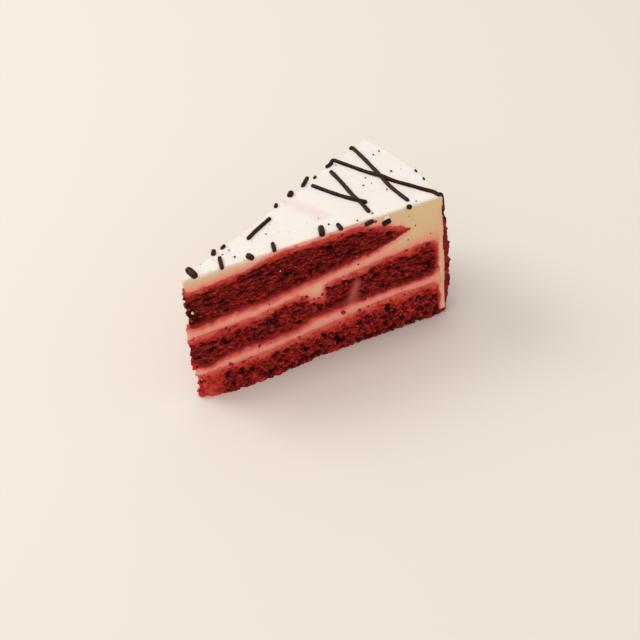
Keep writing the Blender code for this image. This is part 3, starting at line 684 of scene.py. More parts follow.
def border_wander(place):
    """How far a border between sponge and cream strays, over a few millimetres."""
    coarse = noise.noise(place / WANDER_SIZE)
    fine = noise.noise(place / WANDER_FINE_SIZE)
    return WANDER_DEPTH * coarse + WANDER_FINE_DEPTH * fine


def thinness(radius):
    """1 where the slice is wide, and less towards its tip, where deep relief would cut it through."""
    return min(1.0, 2.0 * radius * math.tan(HALF_ANGLE) / RELIEF_WIDTH)


def across_even(share):
    """A share of the slice's width, with the steps finer towards both cut faces."""
    return 0.5 - 0.5 * math.cos(math.pi * share)


def radius_along(share, tip, end):
    """Distance from the middle at a share of the layer's length. Steps get finer at the outer end."""
    even_end = end - FINE_LENGTH
    if share < EVEN_SHARE:
        return tip + (even_end - tip) * share / EVEN_SHARE
    into = (share - EVEN_SHARE) / (1.0 - EVEN_SHARE)
    return even_end + FINE_LENGTH * math.sin(into * math.pi / 2.0)


# Meshes

def gridded_box(cells):
    """A unit box at 0 to 1 whose skin is cut into cells along each axis."""
    skin = bmesh.new()
    bmesh.ops.create_cube(skin, size=1.0, matrix=Matrix.Translation((0.5, 0.5, 0.5)))
    for axis, count in enumerate(cells):
        along = [e for e in skin.edges if abs((e.verts[0].co - e.verts[1].co)[axis]) > 0.5]
        bmesh.ops.subdivide_edges(skin, edges=along, cuts=count - 1, use_grid_fill=True)
    return skin


def float_layers(skin, *names):
    """A number for each corner under each of these names, for the materials to read."""
    for name in names:
        skin.verts.layers.float.new(name)
    return [skin.verts.layers.float[name] for name in names]


def corners_and_faces(skin):
    """A mesh's corners and faces. The mesh itself is freed."""
    skin.verts.index_update()
    corners = [corner.co.copy() for corner in skin.verts]
    faces = [[corner.index for corner in face.verts] for face in skin.faces]
    skin.free()
    return corners, faces


def linked(name, data):
    """An object of this data, linked to the scene."""
    made = bpy.data.objects.new(name, data)
    bpy.context.scene.collection.objects.link(made)
    return made


def new_piece(name, skin, material, slot, *nodes):
    """A smooth-shaded piece of this skin, kept in the solids' box, that rides on the slice."""
    mesh = bpy.data.meshes.new(name)
    if skin.calc_volume(signed=True) < 0.0:
        bmesh.ops.reverse_faces(skin, faces=skin.faces)
    for corner in skin.verts:
        corner.co = [min(max(c, low), high) for c, low, high in zip(corner.co, *CAD_BOX)]
    skin.to_mesh(mesh)
    skin.free()
    mesh.shade_smooth()
    mesh.materials.append(material)
    piece = linked(name, mesh)
    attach(piece, BODY)
    if nodes:
        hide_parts(*nodes)
    return piece


@lru_cache(maxsize=None)
def ball(detail):
    """Corners and faces of a ball of radius 1."""
    skin = bmesh.new()
    bmesh.ops.create_icosphere(skin, subdivisions=detail, radius=1.0)
    return corners_and_faces(skin)


def lump(radius, turn, place, detail, flatness=0.8, roughness=0.35, tone=0.5):
    """A crumb as corners, faces and tone: a rough ball, flattened along its own X and turned."""
    ways, faces = ball(detail)
    seed = place / radius
    corners = []
    for way in ways:
        size = radius * (1.0 + roughness * noise.fractal(way * 1.3 + seed, 0.7, 2.1, 3))
        corners.append(turn @ (Vector((way.x * flatness, way.y, way.z)) * size) + place)
    return corners, faces, tone


def joined(parts):
    """One mesh of several parts, each given as its corners, its faces and its tone."""
    corners, faces, tones = [], [], []
    for part_corners, part_faces, tone in parts:
        first = len(corners)
        corners += part_corners
        faces += [[first + index for index in face] for face in part_faces]
        tones += [tone] * len(part_corners)
    mesh = bpy.data.meshes.new("joined")
    mesh.from_pydata(corners, [], faces)
    skin = bmesh.new()
    skin.from_mesh(mesh)
    bpy.data.meshes.remove(mesh)
    layer = skin.verts.layers.float.new("tone")
    for corner, tone in zip(skin.verts, tones):
        corner[layer] = tone
    return skin


def random_turn(draw):
    """A turn about all three axes."""
    return Euler([draw.uniform(0.0, 2.0 * math.pi) for _ in range(3)]).to_matrix()


# Shader groups and materials

def named_group(name):
    """A new shader group, and its in and out nodes."""
    group = bpy.data.node_groups.new(name, "ShaderNodeTree")
    return group, group.nodes.new("NodeGroupInput"), group.nodes.new("NodeGroupOutput")


def socket_in(group, name, default, kind="NodeSocketFloat"):
    """Adds a named input to a group."""
    made = group.interface.new_socket(name=name, in_out="INPUT", socket_type=kind)
    made.default_value = default


def socket_out(group, name, kind="NodeSocketFloat"):
    """Adds a named output to a group."""
    group.interface.new_socket(name=name, in_out="OUTPUT", socket_type=kind)


def math_node(tree, operation, first, second=None):
    """A Math node of two values, each a socket or a number. Gives its output."""
    node = tree.nodes.new("ShaderNodeMath")
    node.operation = operation
    for index, value in enumerate((first, second)):
        if value is None:
            continue
        if isinstance(value, bpy.types.NodeSocket):
            tree.links.new(value, node.inputs[index])
        else:
            node.inputs[index].default_value = value
    return node.outputs[0]


def times(tree, first, second):
    """The product of two values, each a socket or a number."""
    return math_node(tree, "MULTIPLY", first, second)


def plus(tree, first, second):
    """The sum of two values, each a socket or a number."""
    return math_node(tree, "ADD", first, second)


def at_most_1(tree, value):
    """A value cut off at 1."""
    return math_node(tree, "MINIMUM", value, 1.0)


def range_node(tree, value, low, high, to_low=0.0, to_high=1.0):
    """A smooth Map Range from low..high, each a socket or a number, to to_low..to_high."""
    node = tree.nodes.new("ShaderNodeMapRange")
    node.interpolation_type = "SMOOTHSTEP"
    for index, given in enumerate((value, low, high, to_low, to_high)):
        if isinstance(given, bpy.types.NodeSocket):
            tree.links.new(given, node.inputs[index])
        else:
            node.inputs[index].default_value = given
    return node.outputs[0]


def mix_colours(tree, share, first, second):
    """A colour mix of two sockets or colours by a share. Gives its output."""
    node = tree.nodes.new("ShaderNodeMix")
    node.data_type = "RGBA"
    for index, given in ((0, share), (6, first), (7, second)):
        if isinstance(given, bpy.types.NodeSocket):
            tree.links.new(given, node.inputs[index])
        elif index:
            node.inputs[index].default_value = (*given, 1.0)
        else:
            node.inputs[index].default_value = given
    return node.outputs[2]


def noise_node(tree, place, scale, detail, roughness=0.6):
    """A Noise Texture at a place. Gives its value."""
    node = tree.nodes.new("ShaderNodeTexNoise")
    node.inputs["Detail"].default_value = detail
    node.inputs["Roughness"].default_value = roughness
    tree.links.new(place, node.inputs["Vector"])
    if isinstance(scale, bpy.types.NodeSocket):
        tree.links.new(scale, node.inputs["Scale"])
    else:
        node.inputs["Scale"].default_value = scale
    return node.outputs[0]


def object_place(tree):
    """Places in the piece's own coordinates."""
    return tree.nodes.new("ShaderNodeTexCoord").outputs["Object"]


def stretched_place(tree, place, stretch):
    """Places with their height multiplied, which draws what lies there out along the layers."""
    combine = tree.nodes.new("ShaderNodeCombineXYZ")
    combine.inputs[0].default_value = 1.0
    combine.inputs[1].default_value = 1.0
    tree.links.new(stretch, combine.inputs[2])
    scaled = tree.nodes.new("ShaderNodeVectorMath")
    scaled.operation = "MULTIPLY"
    tree.links.new(place, scaled.inputs[0])
    tree.links.new(combine.outputs[0], scaled.inputs[1])
    return scaled.outputs[0]


def crumb_grain_group():
    """Crumb that more than one finish has: bright and dark crumbs, and the height of fine grit."""
    group, given, result = named_group("crumb_grain")
    socket_in(group, "Place", (0.0, 0.0, 0.0), "NodeSocketVector")
    socket_in(group, "Crumb Size", 0.0016)
    socket_in(group, "Stretch", 1.0)
    socket_out(group, "Bright")
    socket_out(group, "Dark")
    socket_out(group, "Height")
    place = stretched_place(group, given.outputs["Place"], given.outputs["Stretch"])
    scale = math_node(group, "DIVIDE", 1.0, given.outputs["Crumb Size"])
    coarse = noise_node(group, place, scale, 2.0, 0.55)
    wide = noise_node(group, place, times(group, scale, GRAIN_WIDE_SCALE), 2.0, 0.5)
    fine = noise_node(group, place, times(group, scale, GRAIN_FINE_SCALE), 4.0, 0.7)
    both = times(group, plus(group, coarse, fine), 0.5)
    lit = times(group, plus(group, both, wide), 0.5)
    group.links.new(range_node(group, lit, 0.50, GRAIN_BRIGHT_AT), result.inputs["Bright"])
    group.links.new(range_node(group, lit, 0.50, GRAIN_DARK_AT), result.inputs["Dark"])
    group.links.new(plus(group, both, fine), result.inputs["Height"])
    return group


def broken_mask_group():
    """A mask whose edge is broken up by noise, for stains and soaked edges."""
    group, given, result = named_group("broken_mask")
    socket_in(group, "Place", (0.0, 0.0, 0.0), "NodeSocketVector")
    socket_in(group, "Mask", 0.0)
    socket_in(group, "Patch Size", 0.003)
    socket_in(group, "Break Up", 0.3)
    socket_out(group, "Mask")
    scale = math_node(group, "DIVIDE", 1.0, given.outputs["Patch Size"])
    patches = math_node(group, "SUBTRACT", noise_node(group, given.outputs["Place"], scale, 3.0), 0.5)
    shift = times(group, patches, given.outputs["Break Up"])
    room = times(group, given.outputs["Mask"], 4.0)
    held = times(group, shift, at_most_1(group, room))
    total = plus(group, given.outputs["Mask"], held)
    clamp = group.nodes.new("ShaderNodeClamp")
    group.links.new(total, clamp.inputs["Value"])
    group.links.new(clamp.outputs[0], result.inputs["Mask"])
    return group


def shared_group(name, maker):
    """The shader group of this name, made the first time that it is asked for."""
    return bpy.data.node_groups.get(name) or maker()


def place_group(tree, name, maker, **values):
    """A group node with its inputs set, each to a socket or a number."""
    node = tree.nodes.new("ShaderNodeGroup")
    node.node_tree = shared_group(name, maker)
    for key, value in values.items():
        target = node.inputs[key.replace("_", " ")]
        if isinstance(value, bpy.types.NodeSocket):
            tree.links.new(value, target)
        else:
            target.default_value = value
    return node


def attribute(tree, name):
    """The value that the mesh carries under this name."""
    node = tree.nodes.new("ShaderNodeAttribute")
    node.attribute_name = name
    return node.outputs["Fac"]


def bump_from(tree, shader, height, distance, strength):
    """Bumps a shader's surface by a height."""
    bump = tree.nodes.new("ShaderNodeBump")
    bump.inputs["Strength"].default_value = strength
    bump.inputs["Distance"].default_value = distance
    tree.links.new(height, bump.inputs["Height"])
    tree.links.new(bump.outputs["Normal"], shader.inputs["Normal"])


def new_material(name):
    """A material with its tree and its Principled shader."""
    material = bpy.data.materials.new(name)
    material.use_nodes = True
    return material, material.node_tree, material.node_tree.nodes["Principled BSDF"]


def sponge_material(name, settings, crumb_size, stretch, soak_strength, lift):
    """Red crumb: painted shade in its pores, a painted highlight where it stands out, and paler where cream
    soaked in.
    """
    material, tree, shader = new_material(name)
    place = object_place(tree)
    grain = place_group(
        tree, "crumb_grain", crumb_grain_group, Place=place, Crumb_Size=crumb_size, Stretch=stretch,
    )
    # Painted highlight: raised crumbs and pore walls are lightened towards the bright colour, along with
    # the random bright grain.
    lit = times(tree, attribute(tree, "ridge_highlight"), RIDGE_HIGHLIGHT_SHARE)
    lit = plus(tree, lit, times(tree, grain.outputs["Bright"], GRAIN_BRIGHT_SHARE))
    lit = plus(tree, lit, lift)
    # Painted shade: the pores are darkened towards the dark colour, along with the random dark grain;
    # soaked crumb keeps less of it.
    deep = plus(tree, attribute(tree, "pore_shade"), times(tree, grain.outputs["Dark"], GRAIN_DARK_SHARE))
    film = place_group(
        tree, "broken_mask", broken_mask_group,
        Place=place, Mask=attribute(tree, "film"), Patch_Size=FILM_PATCH, Break_Up=FILM_BREAK_UP,
    )
    damp = range_node(tree, film.outputs["Mask"], 0.0, DAMP_FULL)
    soak = times(tree, range_node(tree, film.outputs["Mask"], SOAK_START, 1.0), soak_strength)
    pores_left = range_node(tree, film.outputs["Mask"], 0.0, 0.8, 1.0, 0.08)
    shade = times(tree, at_most_1(tree, deep), pores_left)
    glow = attribute(tree, "glow")
    smear = times(tree, attribute(tree, "smeared"), SMEAR_SHARE)
    colour = mix_colours(tree, at_most_1(tree, lit), settings.crumb, settings.bright)
    colour = mix_colours(tree, damp, colour, settings.vivid)
    colour = mix_colours(tree, soak, colour, settings.soaked)
    colour = mix_colours(tree, shade, colour, settings.dark)
    colour = mix_colours(tree, range_node(tree, glow, 0.0, GLOW_TURN), colour, settings.glow)
    colour = mix_colours(tree, range_node(tree, glow, GLOW_TURN, GLOW_FULL), colour, settings.lowest)
    tree.links.new(mix_colours(tree, smear, colour, settings.smear), shader.inputs["Base Color"])
    damp_rough = math_node(tree, "MAXIMUM", film.outputs["Mask"], glow)
    tree.links.new(range_node(tree, damp_rough, 0.0, 1.0, 0.94, 0.66), shader.inputs["Roughness"])
    shader.inputs["Specular IOR Level"].default_value = 0.14
    bump_from(tree, shader, grain.outputs["Height"], 0.0006, 0.9)
    return material


def cream_material(name, settings):
    """Cream: whiter where it was spread, yellower where it was cut, partly as painted light on the top and
    painted shade on the cut faces, and red next to the sponge.
    """
    material, tree, shader = new_material(name)
    place = object_place(tree)
    wide = noise_node(tree, place, 90.0, 3.0)
    # The cut share gives the cut faces the cut colour: partly the cream's own colour, partly painted shade
    # and warm bounce light.
    cut = attribute(tree, "cut")
    pale = mix_colours(tree, cut, settings.outside, settings.cut)
    warm = range_node(tree, wide, 0.35, 0.75, 0.0, 0.16)
    pale = mix_colours(tree, warm, pale, tuple(0.92 * c for c in settings.cut))
    stain = place_group(
        tree, "broken_mask", broken_mask_group,
        Place=place, Mask=attribute(tree, "stain"), Patch_Size=STAIN_PATCH, Break_Up=STAIN_BREAK_UP,
    )
    light = range_node(tree, stain.outputs["Mask"], 0.0, PINK_FULL)
    heavy = range_node(tree, stain.outputs["Mask"], PINK_FULL, RED_FULL)
    heaviest = range_node(tree, stain.outputs["Mask"], RED_FULL, 1.0)
    blush = times(tree, attribute(tree, "blush"), BLUSH_SHARE)
    colour = mix_colours(tree, blush, pale, settings.blush)
    colour = mix_colours(tree, light, colour, settings.pink)
    colour = mix_colours(tree, heavy, colour, settings.red)
    colour = mix_colours(tree, heaviest, colour, settings.deep)
    tree.links.new(colour, shader.inputs["Base Color"])
    tree.links.new(range_node(tree, wide, 0.3, 0.7, 0.42, 0.54), shader.inputs["Roughness"])
    shader.inputs["Specular IOR Level"].default_value = 0.4
    shader.inputs["Subsurface Weight"].default_value = 0.25
    shader.inputs["Subsurface Scale"].default_value = 0.0022
    shader.inputs["Subsurface Radius"].default_value = (1.0, 0.7, 0.45)
    grain = place_group(
        tree, "crumb_grain", crumb_grain_group, Place=place, Crumb_Size=CREAM_GRAIN_SIZE, Stretch=1.0,
    )
    bump_from(tree, shader, grain.outputs["Height"], 0.0003, 0.25)
    return material


def loose_crumb_material(name, settings):
    """Loose red crumbs, brighter than the cut crumb because light gets round them."""
    material, tree, shader = new_material(name)
    place = object_place(tree)
    grain = place_group(
        tree, "crumb_grain", crumb_grain_group, Place=place, Crumb_Size=LOOSE_GRAIN_SIZE, Stretch=1.0,
    )
    tone = plus(tree, attribute(tree, "tone"), times(tree, grain.outputs["Bright"], 0.4))
    colour = mix_colours(tree, at_most_1(tree, tone), settings.crumb, settings.bright)
    colour = mix_colours(tree, times(tree, grain.outputs["Dark"], 0.8), colour, settings.dark)
    tree.links.new(colour, shader.inputs["Base Color"])
    dull = range_node(tree, grain.outputs["Bright"], 0.0, 1.0, 0.95, 0.80)
    tree.links.new(dull, shader.inputs["Roughness"])
    shader.inputs["Specular IOR Level"].default_value = 0.15
    bump_from(tree, shader, grain.outputs["Height"], 0.0005, 0.6)
    return material


def chocolate_material(name, settings):
    """Dark chocolate with a soft gloss, duller and paler in patches."""
    material, tree, shader = new_material(name)
    place = object_place(tree)
    patches = noise_node(tree, place, 620.0, 3.0)
    dull = range_node(tree, patches, 0.4, 0.7)
    pale = tuple(1.6 * c for c in settings.chocolate)
    colour = mix_colours(tree, times(tree, dull, 0.6), settings.chocolate, pale)
    tree.links.new(colour, shader.inputs["Base Color"])
    tree.links.new(range_node(tree, patches, 0.3, 0.7, 0.24, 0.38), shader.inputs["Roughness"])
    shader.inputs["Specular IOR Level"].default_value = 0.19
    shader.inputs["Specular Tint"].default_value = (1.0, 0.70, 0.56, 1.0)
    bump_from(tree, shader, patches, 0.0002, 0.35)
    return material


# Sponge

def coarse_relief(place):
    """How far a sponge's cut face stands out or lies back, over several millimetres."""
    coarse = noise.noise(place / CRUMB_SIZE)
    fine = noise.noise(place / (FINE_SIZE * CRUMB_SIZE) + FINE_PLACE)
    return CRUMB_RELIEF * (COARSE_SHARE * coarse + FINE_SHARE * fine)


def large_pore(along, height):
    """How deep a place of the -Y cut face lies in one of the larger pores, 0 to 1."""
    deepest = 0.0
    for pore_along, pore_height, radius in LARGE_PORES:
        away = math.hypot(along - pore_along, (height - pore_height) * LARGE_PORE_HEIGHT) / radius
        if away < 1.3:
            deepest = max(deepest, 1.0 - smooth_step(0.55, 1.25, away))
    return deepest


def crumb_cell(place, size, stretch, openness):
    """How deep a place lies in a pore of the crumb, and how near it is to a wall, each 0 to 1."""
    spot = Vector((place.x, place.y, place.z * stretch)) / size
    spot += PORE_BEND * noise.noise_vector(spot * 1.3) + PORE_FINE_BEND * noise.noise_vector(spot * 3.1)
    distances, centres = noise.voronoi(spot)
    edge = distances[1] - distances[0]
    given = 0.5 + 0.5 * noise.cell(centres[0])
    open_share = smooth_step(1.0 - openness, 1.2 - openness, given)
    return open_share * smooth_step(0.04, PORE_OPENING, edge), 1.0 - smooth_step(0.0, PORE_WALL, edge)


def grit(place, stretch):
    """Height of the fine crumbs between the pores, about -1 to 1."""
    spot = Vector((place.x, place.y, place.z * stretch))
    coarse = noise.fractal(spot / GRIT_SIZE, 0.6, 2.0, 2)
    return GRIT_COARSE * coarse + GRIT_FINE * noise.noise(spot / GRIT_FINE_SIZE)


def smear_share(along, height):
    """How much a place of the -Y cut face is covered by the cream smear, 0 to 1."""
    (start_along, start_height), (end_along, end_height) = SMEAR_FROM, SMEAR_TO
    up = (height - start_height) / (end_height - start_height)
    if not 0.0 < up < 1.0:
        return 0.0
    middle = start_along + (end_along - start_along) * up
    width = SMEAR_WIDTH * (1.0 - SMEAR_TAPER * up)
    ends = smooth_step(0.0, 0.35, up) * (1.0 - smooth_step(0.7, 1.0, up))
    across_it = 1.0 - smooth_step(0.0, 1.0, abs(along - middle) / width)
    return SMEAR_MOST * across_it * (0.5 + 0.5 * ends)


def sponge_piece(name, node, tip, end, under, over, look, material):
    """A sponge layer: a fine skin with pores and grit on its cut faces, soaked along its upper edge."""
    settings = bpy.context.scene.cake_slice.sponge
    cells = (round((end - tip) / settings.cell), CELLS_ACROSS, round(look.thickest / settings.cell))
    skin = gridded_box(cells)
    film, glow, smeared, pore_shade, ridge_highlight = float_layers(skin, "film", "glow", "smeared", "pore_shade", "ridge_highlight")
    stands = under is underside
    in_middle = over is sponge_2_top
    for corner in skin.verts:
        share, across, up = corner.co
        way = outward(share, across)
        near = across < ON_SKIN
        radius = radius_along(share, tip, end)
        low = under(radius, across)
        high = over(radius, across)
        first = low if stands else low - SPARE
        room = SPARE
        if over is sponge_3_top:
            room = min(SPARE, 0.5 * (icing_top(radius, across) - high))
        height = first + (high + room - first) * up
        from_top = (high - height) / lean(over, radius, across)
        from_foot = 1.0 if stands else (height - low) / lean(under, radius, across)
        even_radius = radius
        from_tip = radius - tip
        radius += tip_set_back(share, height) + tip_rag(from_tip, height)
        if stands:
            radius += tip_notch(from_tip, height)
        place = polar(radius, tip_rounded(from_tip, across), height)
        place += NEAR_OUTWARD * foot_bow(radius, across, height)
        shift = border_wander(place)
        from_top += shift - TOP_DROP
        from_foot += shift + UNDER_DROP
        from_end = before_rim(even_radius, shift) if end == RIM_INNER else 1.0
        smear = smear_share(radius, height) if near and in_middle else 0.0
        film_depth = look.film_inner
        film_depth += (look.film_outer - film_depth) * smooth_step(FILM_FROM, FILM_TO, radius)
        stray = film_wander(place)
        soaked = 1.0 - (from_top + stray) / film_depth
        by_cream = smooth_step(END_FILM_LOW, END_FILM_HIGH, height)
        soaked = max(soaked, by_cream * (END_FILM - (from_end + stray) / END_FILM_DEPTH))
        if stands:
            soaked = max(soaked, TIP_FILM_1 - from_tip / TIP_FILM_1_LENGTH)
        if in_middle:
            at_tip = TIP_FILM_2 - from_tip / TIP_FILM_2_LENGTH - from_foot / TIP_FILM_2_HEIGHT
            soaked = max(soaked, at_tip)
        soaked = min(max(soaked, 0.0), 1.0)
        if way.length > 0.5:
            inside = (min(from_top, from_end), from_foot)
            place, pore_shade_share, ridge_highlight_share = roughened(place, way, inside, soaked, smear, look)
            if near:
                pore = large_pore(radius, height)
                # The larger pores are cut deeper and get painted shade as well.
                place -= way * LARGE_PORE_DEPTH * pore * thinness(radius)
                pore_shade_share = max(pore_shade_share, pore)
            # Painted shade for the pores, read by the material.
            corner[pore_shade] = pore_shade_share
            # Painted highlight for the raised crumb, read by the material.
            corner[ridge_highlight] = ridge_highlight_share
        if stands:
            place.z = max(place.z, 0.0)
        corner.co = place
        corner[film] = soaked
        corner[glow] = 1.0 - smooth_step(0.0, GLOW_HEIGHT, from_foot)
        if in_middle:
            corner[glow] *= smooth_step(GLOW_TIP_FROM, GLOW_TIP_TO, from_tip)
        corner[smeared] = smear
    return new_piece(name, skin, material, "sponge", node)


def film_wander(place):
    """How far the depth of a soaked edge strays."""
    coarse = noise.noise(place / FILM_STRAY_SIZE)
    return FILM_STRAY * coarse + FILM_FINE_STRAY * noise.noise(place / FILM_FINE_SIZE)


def roughened(place, way, inside, soaked, smear, look):
    """A place of a cut face with its crumb, and its shares of painted shade in a pore and of painted
    highlight where it stands out.
    """
    settings = bpy.context.scene.cake_slice.sponge
    from_top, from_foot = inside
    rougher = (1.0 - SOAKED_CALM * soaked) * (1.0 - SMEARED_CALM * smear)
    rougher *= 1.0 - FOOT_CALM + FOOT_CALM * smooth_step(CALM_FROM, BORDER_FADE, from_foot)
    thin = thinness(place.x + ORIGIN_RADIUS)
    wide_pore, wide_wall = crumb_cell(place, look.pores, look.stretch, look.openness)
    small_pore, small_wall = crumb_cell(
        place + Vector((0.5, 0.5, 0.5)), SMALL_PORE_SIZE * look.pores, look.stretch, look.openness,
    )
    depth = max(wide_pore, SMALL_PORE_DEPTH * small_pore) * rougher
    rough = grit(place, look.stretch)
    wall = max(wide_wall, SMALL_PORE_WALL * small_wall) * smooth_step(-0.3, 0.4, rough)
    nearest = min(from_top, from_foot)
    fade = BORDER_PORES + (1.0 - BORDER_PORES) * smooth_step(-0.0005, BORDER_FADE, nearest)
    rise = smooth_step(0.0, BORDER_FADE, nearest)
    level = (coarse_relief(place) + CRUMB_PROUD) * rise + cream_relief(place) * (1.0 - rise)
    level -= BORDER_SLOPE * max(-nearest, 0.0)
    level += rougher * settings.grit * rough - settings.pore_depth * depth * fade
    side = noise.noise_vector(place / SIDE_STRAY_SIZE) * SIDE_STRAY * rougher
    side -= way * side.dot(way)
    # Painted shade where the place lies deep in a pore or low in the grit.
    pore_shade_share = min(max(1.15 * depth + 0.5 * max(-rough - 0.1, 0.0) * rougher, 0.0), 1.0)
    # Painted highlight on pore walls and raised grit.
    ridge_highlight_share = min(max(0.75 * wall + 1.1 * (rough - 0.12) - 1.3 * depth, 0.0), 1.0) * rougher
    return place + way * level * thin + side, pore_shade_share, ridge_highlight_share


def make_sponges():
    """The three sponge layers, each with the crumb that it shows."""
    settings = bpy.context.scene.cake_slice.sponge
    close = sponge_material("red_sponge_close_crumb", settings, *CLOSE_CRUMB)
    middle = sponge_material("red_sponge_middle_crumb", settings, *MIDDLE_CRUMB)
    loose = sponge_material("red_sponge_open_crumb", settings, *OPEN_CRUMB)
    sponge_piece(
        "sponge_bottom_crumb", "sponge_bottom", TIP_1, RIM_INNER, underside, sponge_1_top,
        BOTTOM_LOOK, loose,
    )
    sponge_piece(
        "sponge_middle_crumb", "sponge_middle", TIP_2, RIM_INNER, sponge_2_under, sponge_2_top,
        MIDDLE_LOOK, middle,
    )
    sponge_piece(
        "sponge_top_crumb", "sponge_top", TIP_3, SPONGE_3_RADIUS, sponge_3_under, sponge_3_top,
        TOP_LOOK, close,
    )


# Cream

def cream_relief(place):
    """How uneven the cream is on a cut face."""
    slow = CREAM_RELIEF * noise.noise(place / CREAM_SIZE)
    upright = Vector((place.x, place.y, CREAM_STREAK_STRETCH * place.z))
    return slow + CREAM_STREAKS * noise.noise(upright / CREAM_STREAK_SIZE)


def stain_at(radius, across, height, shift):
    """How red the cream is, 0 to 1: strong under a sponge, weaker over one and next to the rim's crumbs."""
    settings = bpy.context.scene.cake_slice.cream
    outer = smooth_step(STAIN_OUTER_FROM, STAIN_OUTER_TO, radius)
    under_reach = settings.stain_under * (1.0 - STAIN_OUTER_LESS * outer)
    outside = max(CAKE_RADIUS - radius, 0.0) + max(height - COAT_TOP, 0.0)
    total = (STAIN_RIM * math.exp(-outside / STAIN_RIM_REACH)) ** 4
    for under, over, end in SPONGE_BODIES:
        at = min(radius, end)
        foot, top = under(at, across), over(at, across)
        past = STAIN_PAST_END * max(radius + shift - end, 0.0)
        above = max((height - top) / lean(over, at, across) - shift + TOP_DROP, 0.0)
        below = max((foot - height) / lean(under, at, across) - shift, 0.0)
        below = math.hypot(below + STAIN_START * (1.0 + outer), past)
        above = math.hypot(above, past)
        over_share = STAIN_OVER * math.exp(-above / STAIN_OVER_REACH)
        wide_reach = settings.stain_over
        thick = 1.0
        if over is sponge_3_top:
            inner_less = smooth_step(ICING_STAIN_FROM, ICING_STAIN_TO, radius)
            wide_reach *= ICING_STAIN_REACH - ICING_STAIN_LESS * inner_less
            thick -= TAPER_LESS * smooth_step(end - SPONGE_3_TAPER, end, radius)
        over_share += STAIN_WIDE * math.exp(-above / wide_reach)
        under_share = math.exp(-(below / under_reach) ** 2)
        share = under_share + (over_share - under_share) * smooth_step(foot, top, height)
        total += (thick * share) ** 4
    return min(total ** 0.25, 1.0)


def skirt_stain(inside):
    """How red the cream is where it dips under a sponge's face."""
    return STAIN_SKIRT * smooth_step(-0.0001, 0.0003, -inside)


def before_rim(radius, shift):
    """How far a place lies before the rim's cream, which laps over the sponges' outer ends."""
    return RIM_INNER - RIM_LAP - radius - shift


def beside_sponge(radius, across, height):
    """1 where the rim's cream laps over a sponge, 0 where it meets the cream of a filling."""
    at = min(radius, RIM_INNER)
    in_lowest = sponge_1_top(at, across) - height
    in_middle = min(height - sponge_2_under(at, across), sponge_2_top(at, across) - height)
    return smooth_step(0.0, 0.0010, max(in_lowest, in_middle))


def dip(beyond, radius):
    """How far cream dips under a sponge's face, this far beyond its own border."""
    beyond = max(beyond, 0.0)
    return min(DIP_SLOPE * beyond + DIP_CURVE * beyond * beyond, DIP_MOST) * thinness(radius)


def filling_piece(name, node, tip, under, over, thickest, material):
    """The cream between two sponges. It runs a little into its neighbours, under their faces."""
    settings = bpy.context.scene.cake_slice.cream
    end = RIM_INNER + SPARE
    cells = (round((end - tip) / settings.cell), CELLS_ACROSS, round(thickest / settings.cell))
    skin = gridded_box(cells)
    stain, cut = float_layers(skin, "stain", "cut")
    for corner in skin.verts:
        share, across, up = corner.co
        radius = min(radius_along(share, tip, end), end)
        at = min(radius, RIM_INNER)
        low, high = under(at, across), over(at, across)
        height = low - SPARE + (high - low + 2.0 * SPARE) * up
        from_tip = radius - tip
        radius += tip_set_back(share, height) + 0.5 * tip_rag(from_tip, height)
        place = polar(radius, tip_rounded(from_tip, across), height)
        shift = border_wander(place)
        from_low = (height - low) / lean(under, at, across) - shift + TOP_DROP
        beside = over_sponge_3(radius) if over is sponge_3_under else 1.0
        from_high = (high - height) / lean(over, at, across) - (shift + UNDER_DROP) * beside
        skirt = max(skirt_stain(from_low), skirt_stain(from_high) * beside)
        hidden = max(-from_low, -from_high * beside, -CREAM_JOINT * before_rim(radius, shift))
        level = cream_relief(place) * thinness(radius) - dip(hidden - CREAM_LAP, radius)
        washed = 1.0 - WASHED_SHARE * math.exp(-from_tip / WASHED_LENGTH)
        corner[stain] = max(stain_at(at, across, height, shift) * washed, skirt)
        # Cut colour all over, which is partly painted shade.
        corner[cut] = 1.0
        corner.co = place + outward(share, across) * level
    return new_piece(name, skin, material, "filling", node)


def rim_turn(turn, across):
    """A point of the outer edge's turn: along the top, round the edge, and down to where it ends."""
    flat_end = CAKE_RADIUS - EDGE_ROUNDING
    level = icing_top(CAKE_RADIUS, across)
    if turn < FLAT_SHARE:
        return TURN_START + (flat_end - TURN_START) * turn / FLAT_SHARE, level
    if turn < ROUND_SHARE:
        angle = (turn - FLAT_SHARE) / (ROUND_SHARE - FLAT_SHARE) * math.pi / 2.0
        return (
            flat_end + EDGE_ROUNDING * math.sin(angle),
            level - EDGE_ROUNDING * (1.0 - math.cos(angle)),
        )
    low = level - EDGE_ROUNDING
    return CAKE_RADIUS, low + (TURN_END - low) * (turn - ROUND_SHARE) / (1.0 - ROUND_SHARE)


def icing_section(share, across):
    """The icing's inner and outer point, as (radius, height), at a share of its length."""
    if share <= TOP_SHARE:
        radius = TIP_ICING + (TURN_START - TIP_ICING) * share / TOP_SHARE
        return (radius, sponge_3_top(radius, across)), (radius, icing_top(radius, across))
    if share <= TURN_SHARE:
        turn = (share - TOP_SHARE) / (TURN_SHARE - TOP_SHARE)
        inner_radius = TURN_START + (RIM_INNER - TURN_START) * turn
        return (inner_radius, sponge_3_top(inner_radius, across)), rim_turn(turn, across)
    down = (share - TURN_SHARE) / (1.0 - TURN_SHARE)
    inner_top = sponge_3_top(RIM_INNER, across)
    inner_height = inner_top + (RIM_ICING_FOOT - inner_top) * down
    outer_height = TURN_END + (RIM_ICING_FOOT - TURN_END) * down
    return (RIM_INNER, inner_height), (CAKE_RADIUS, outer_height)


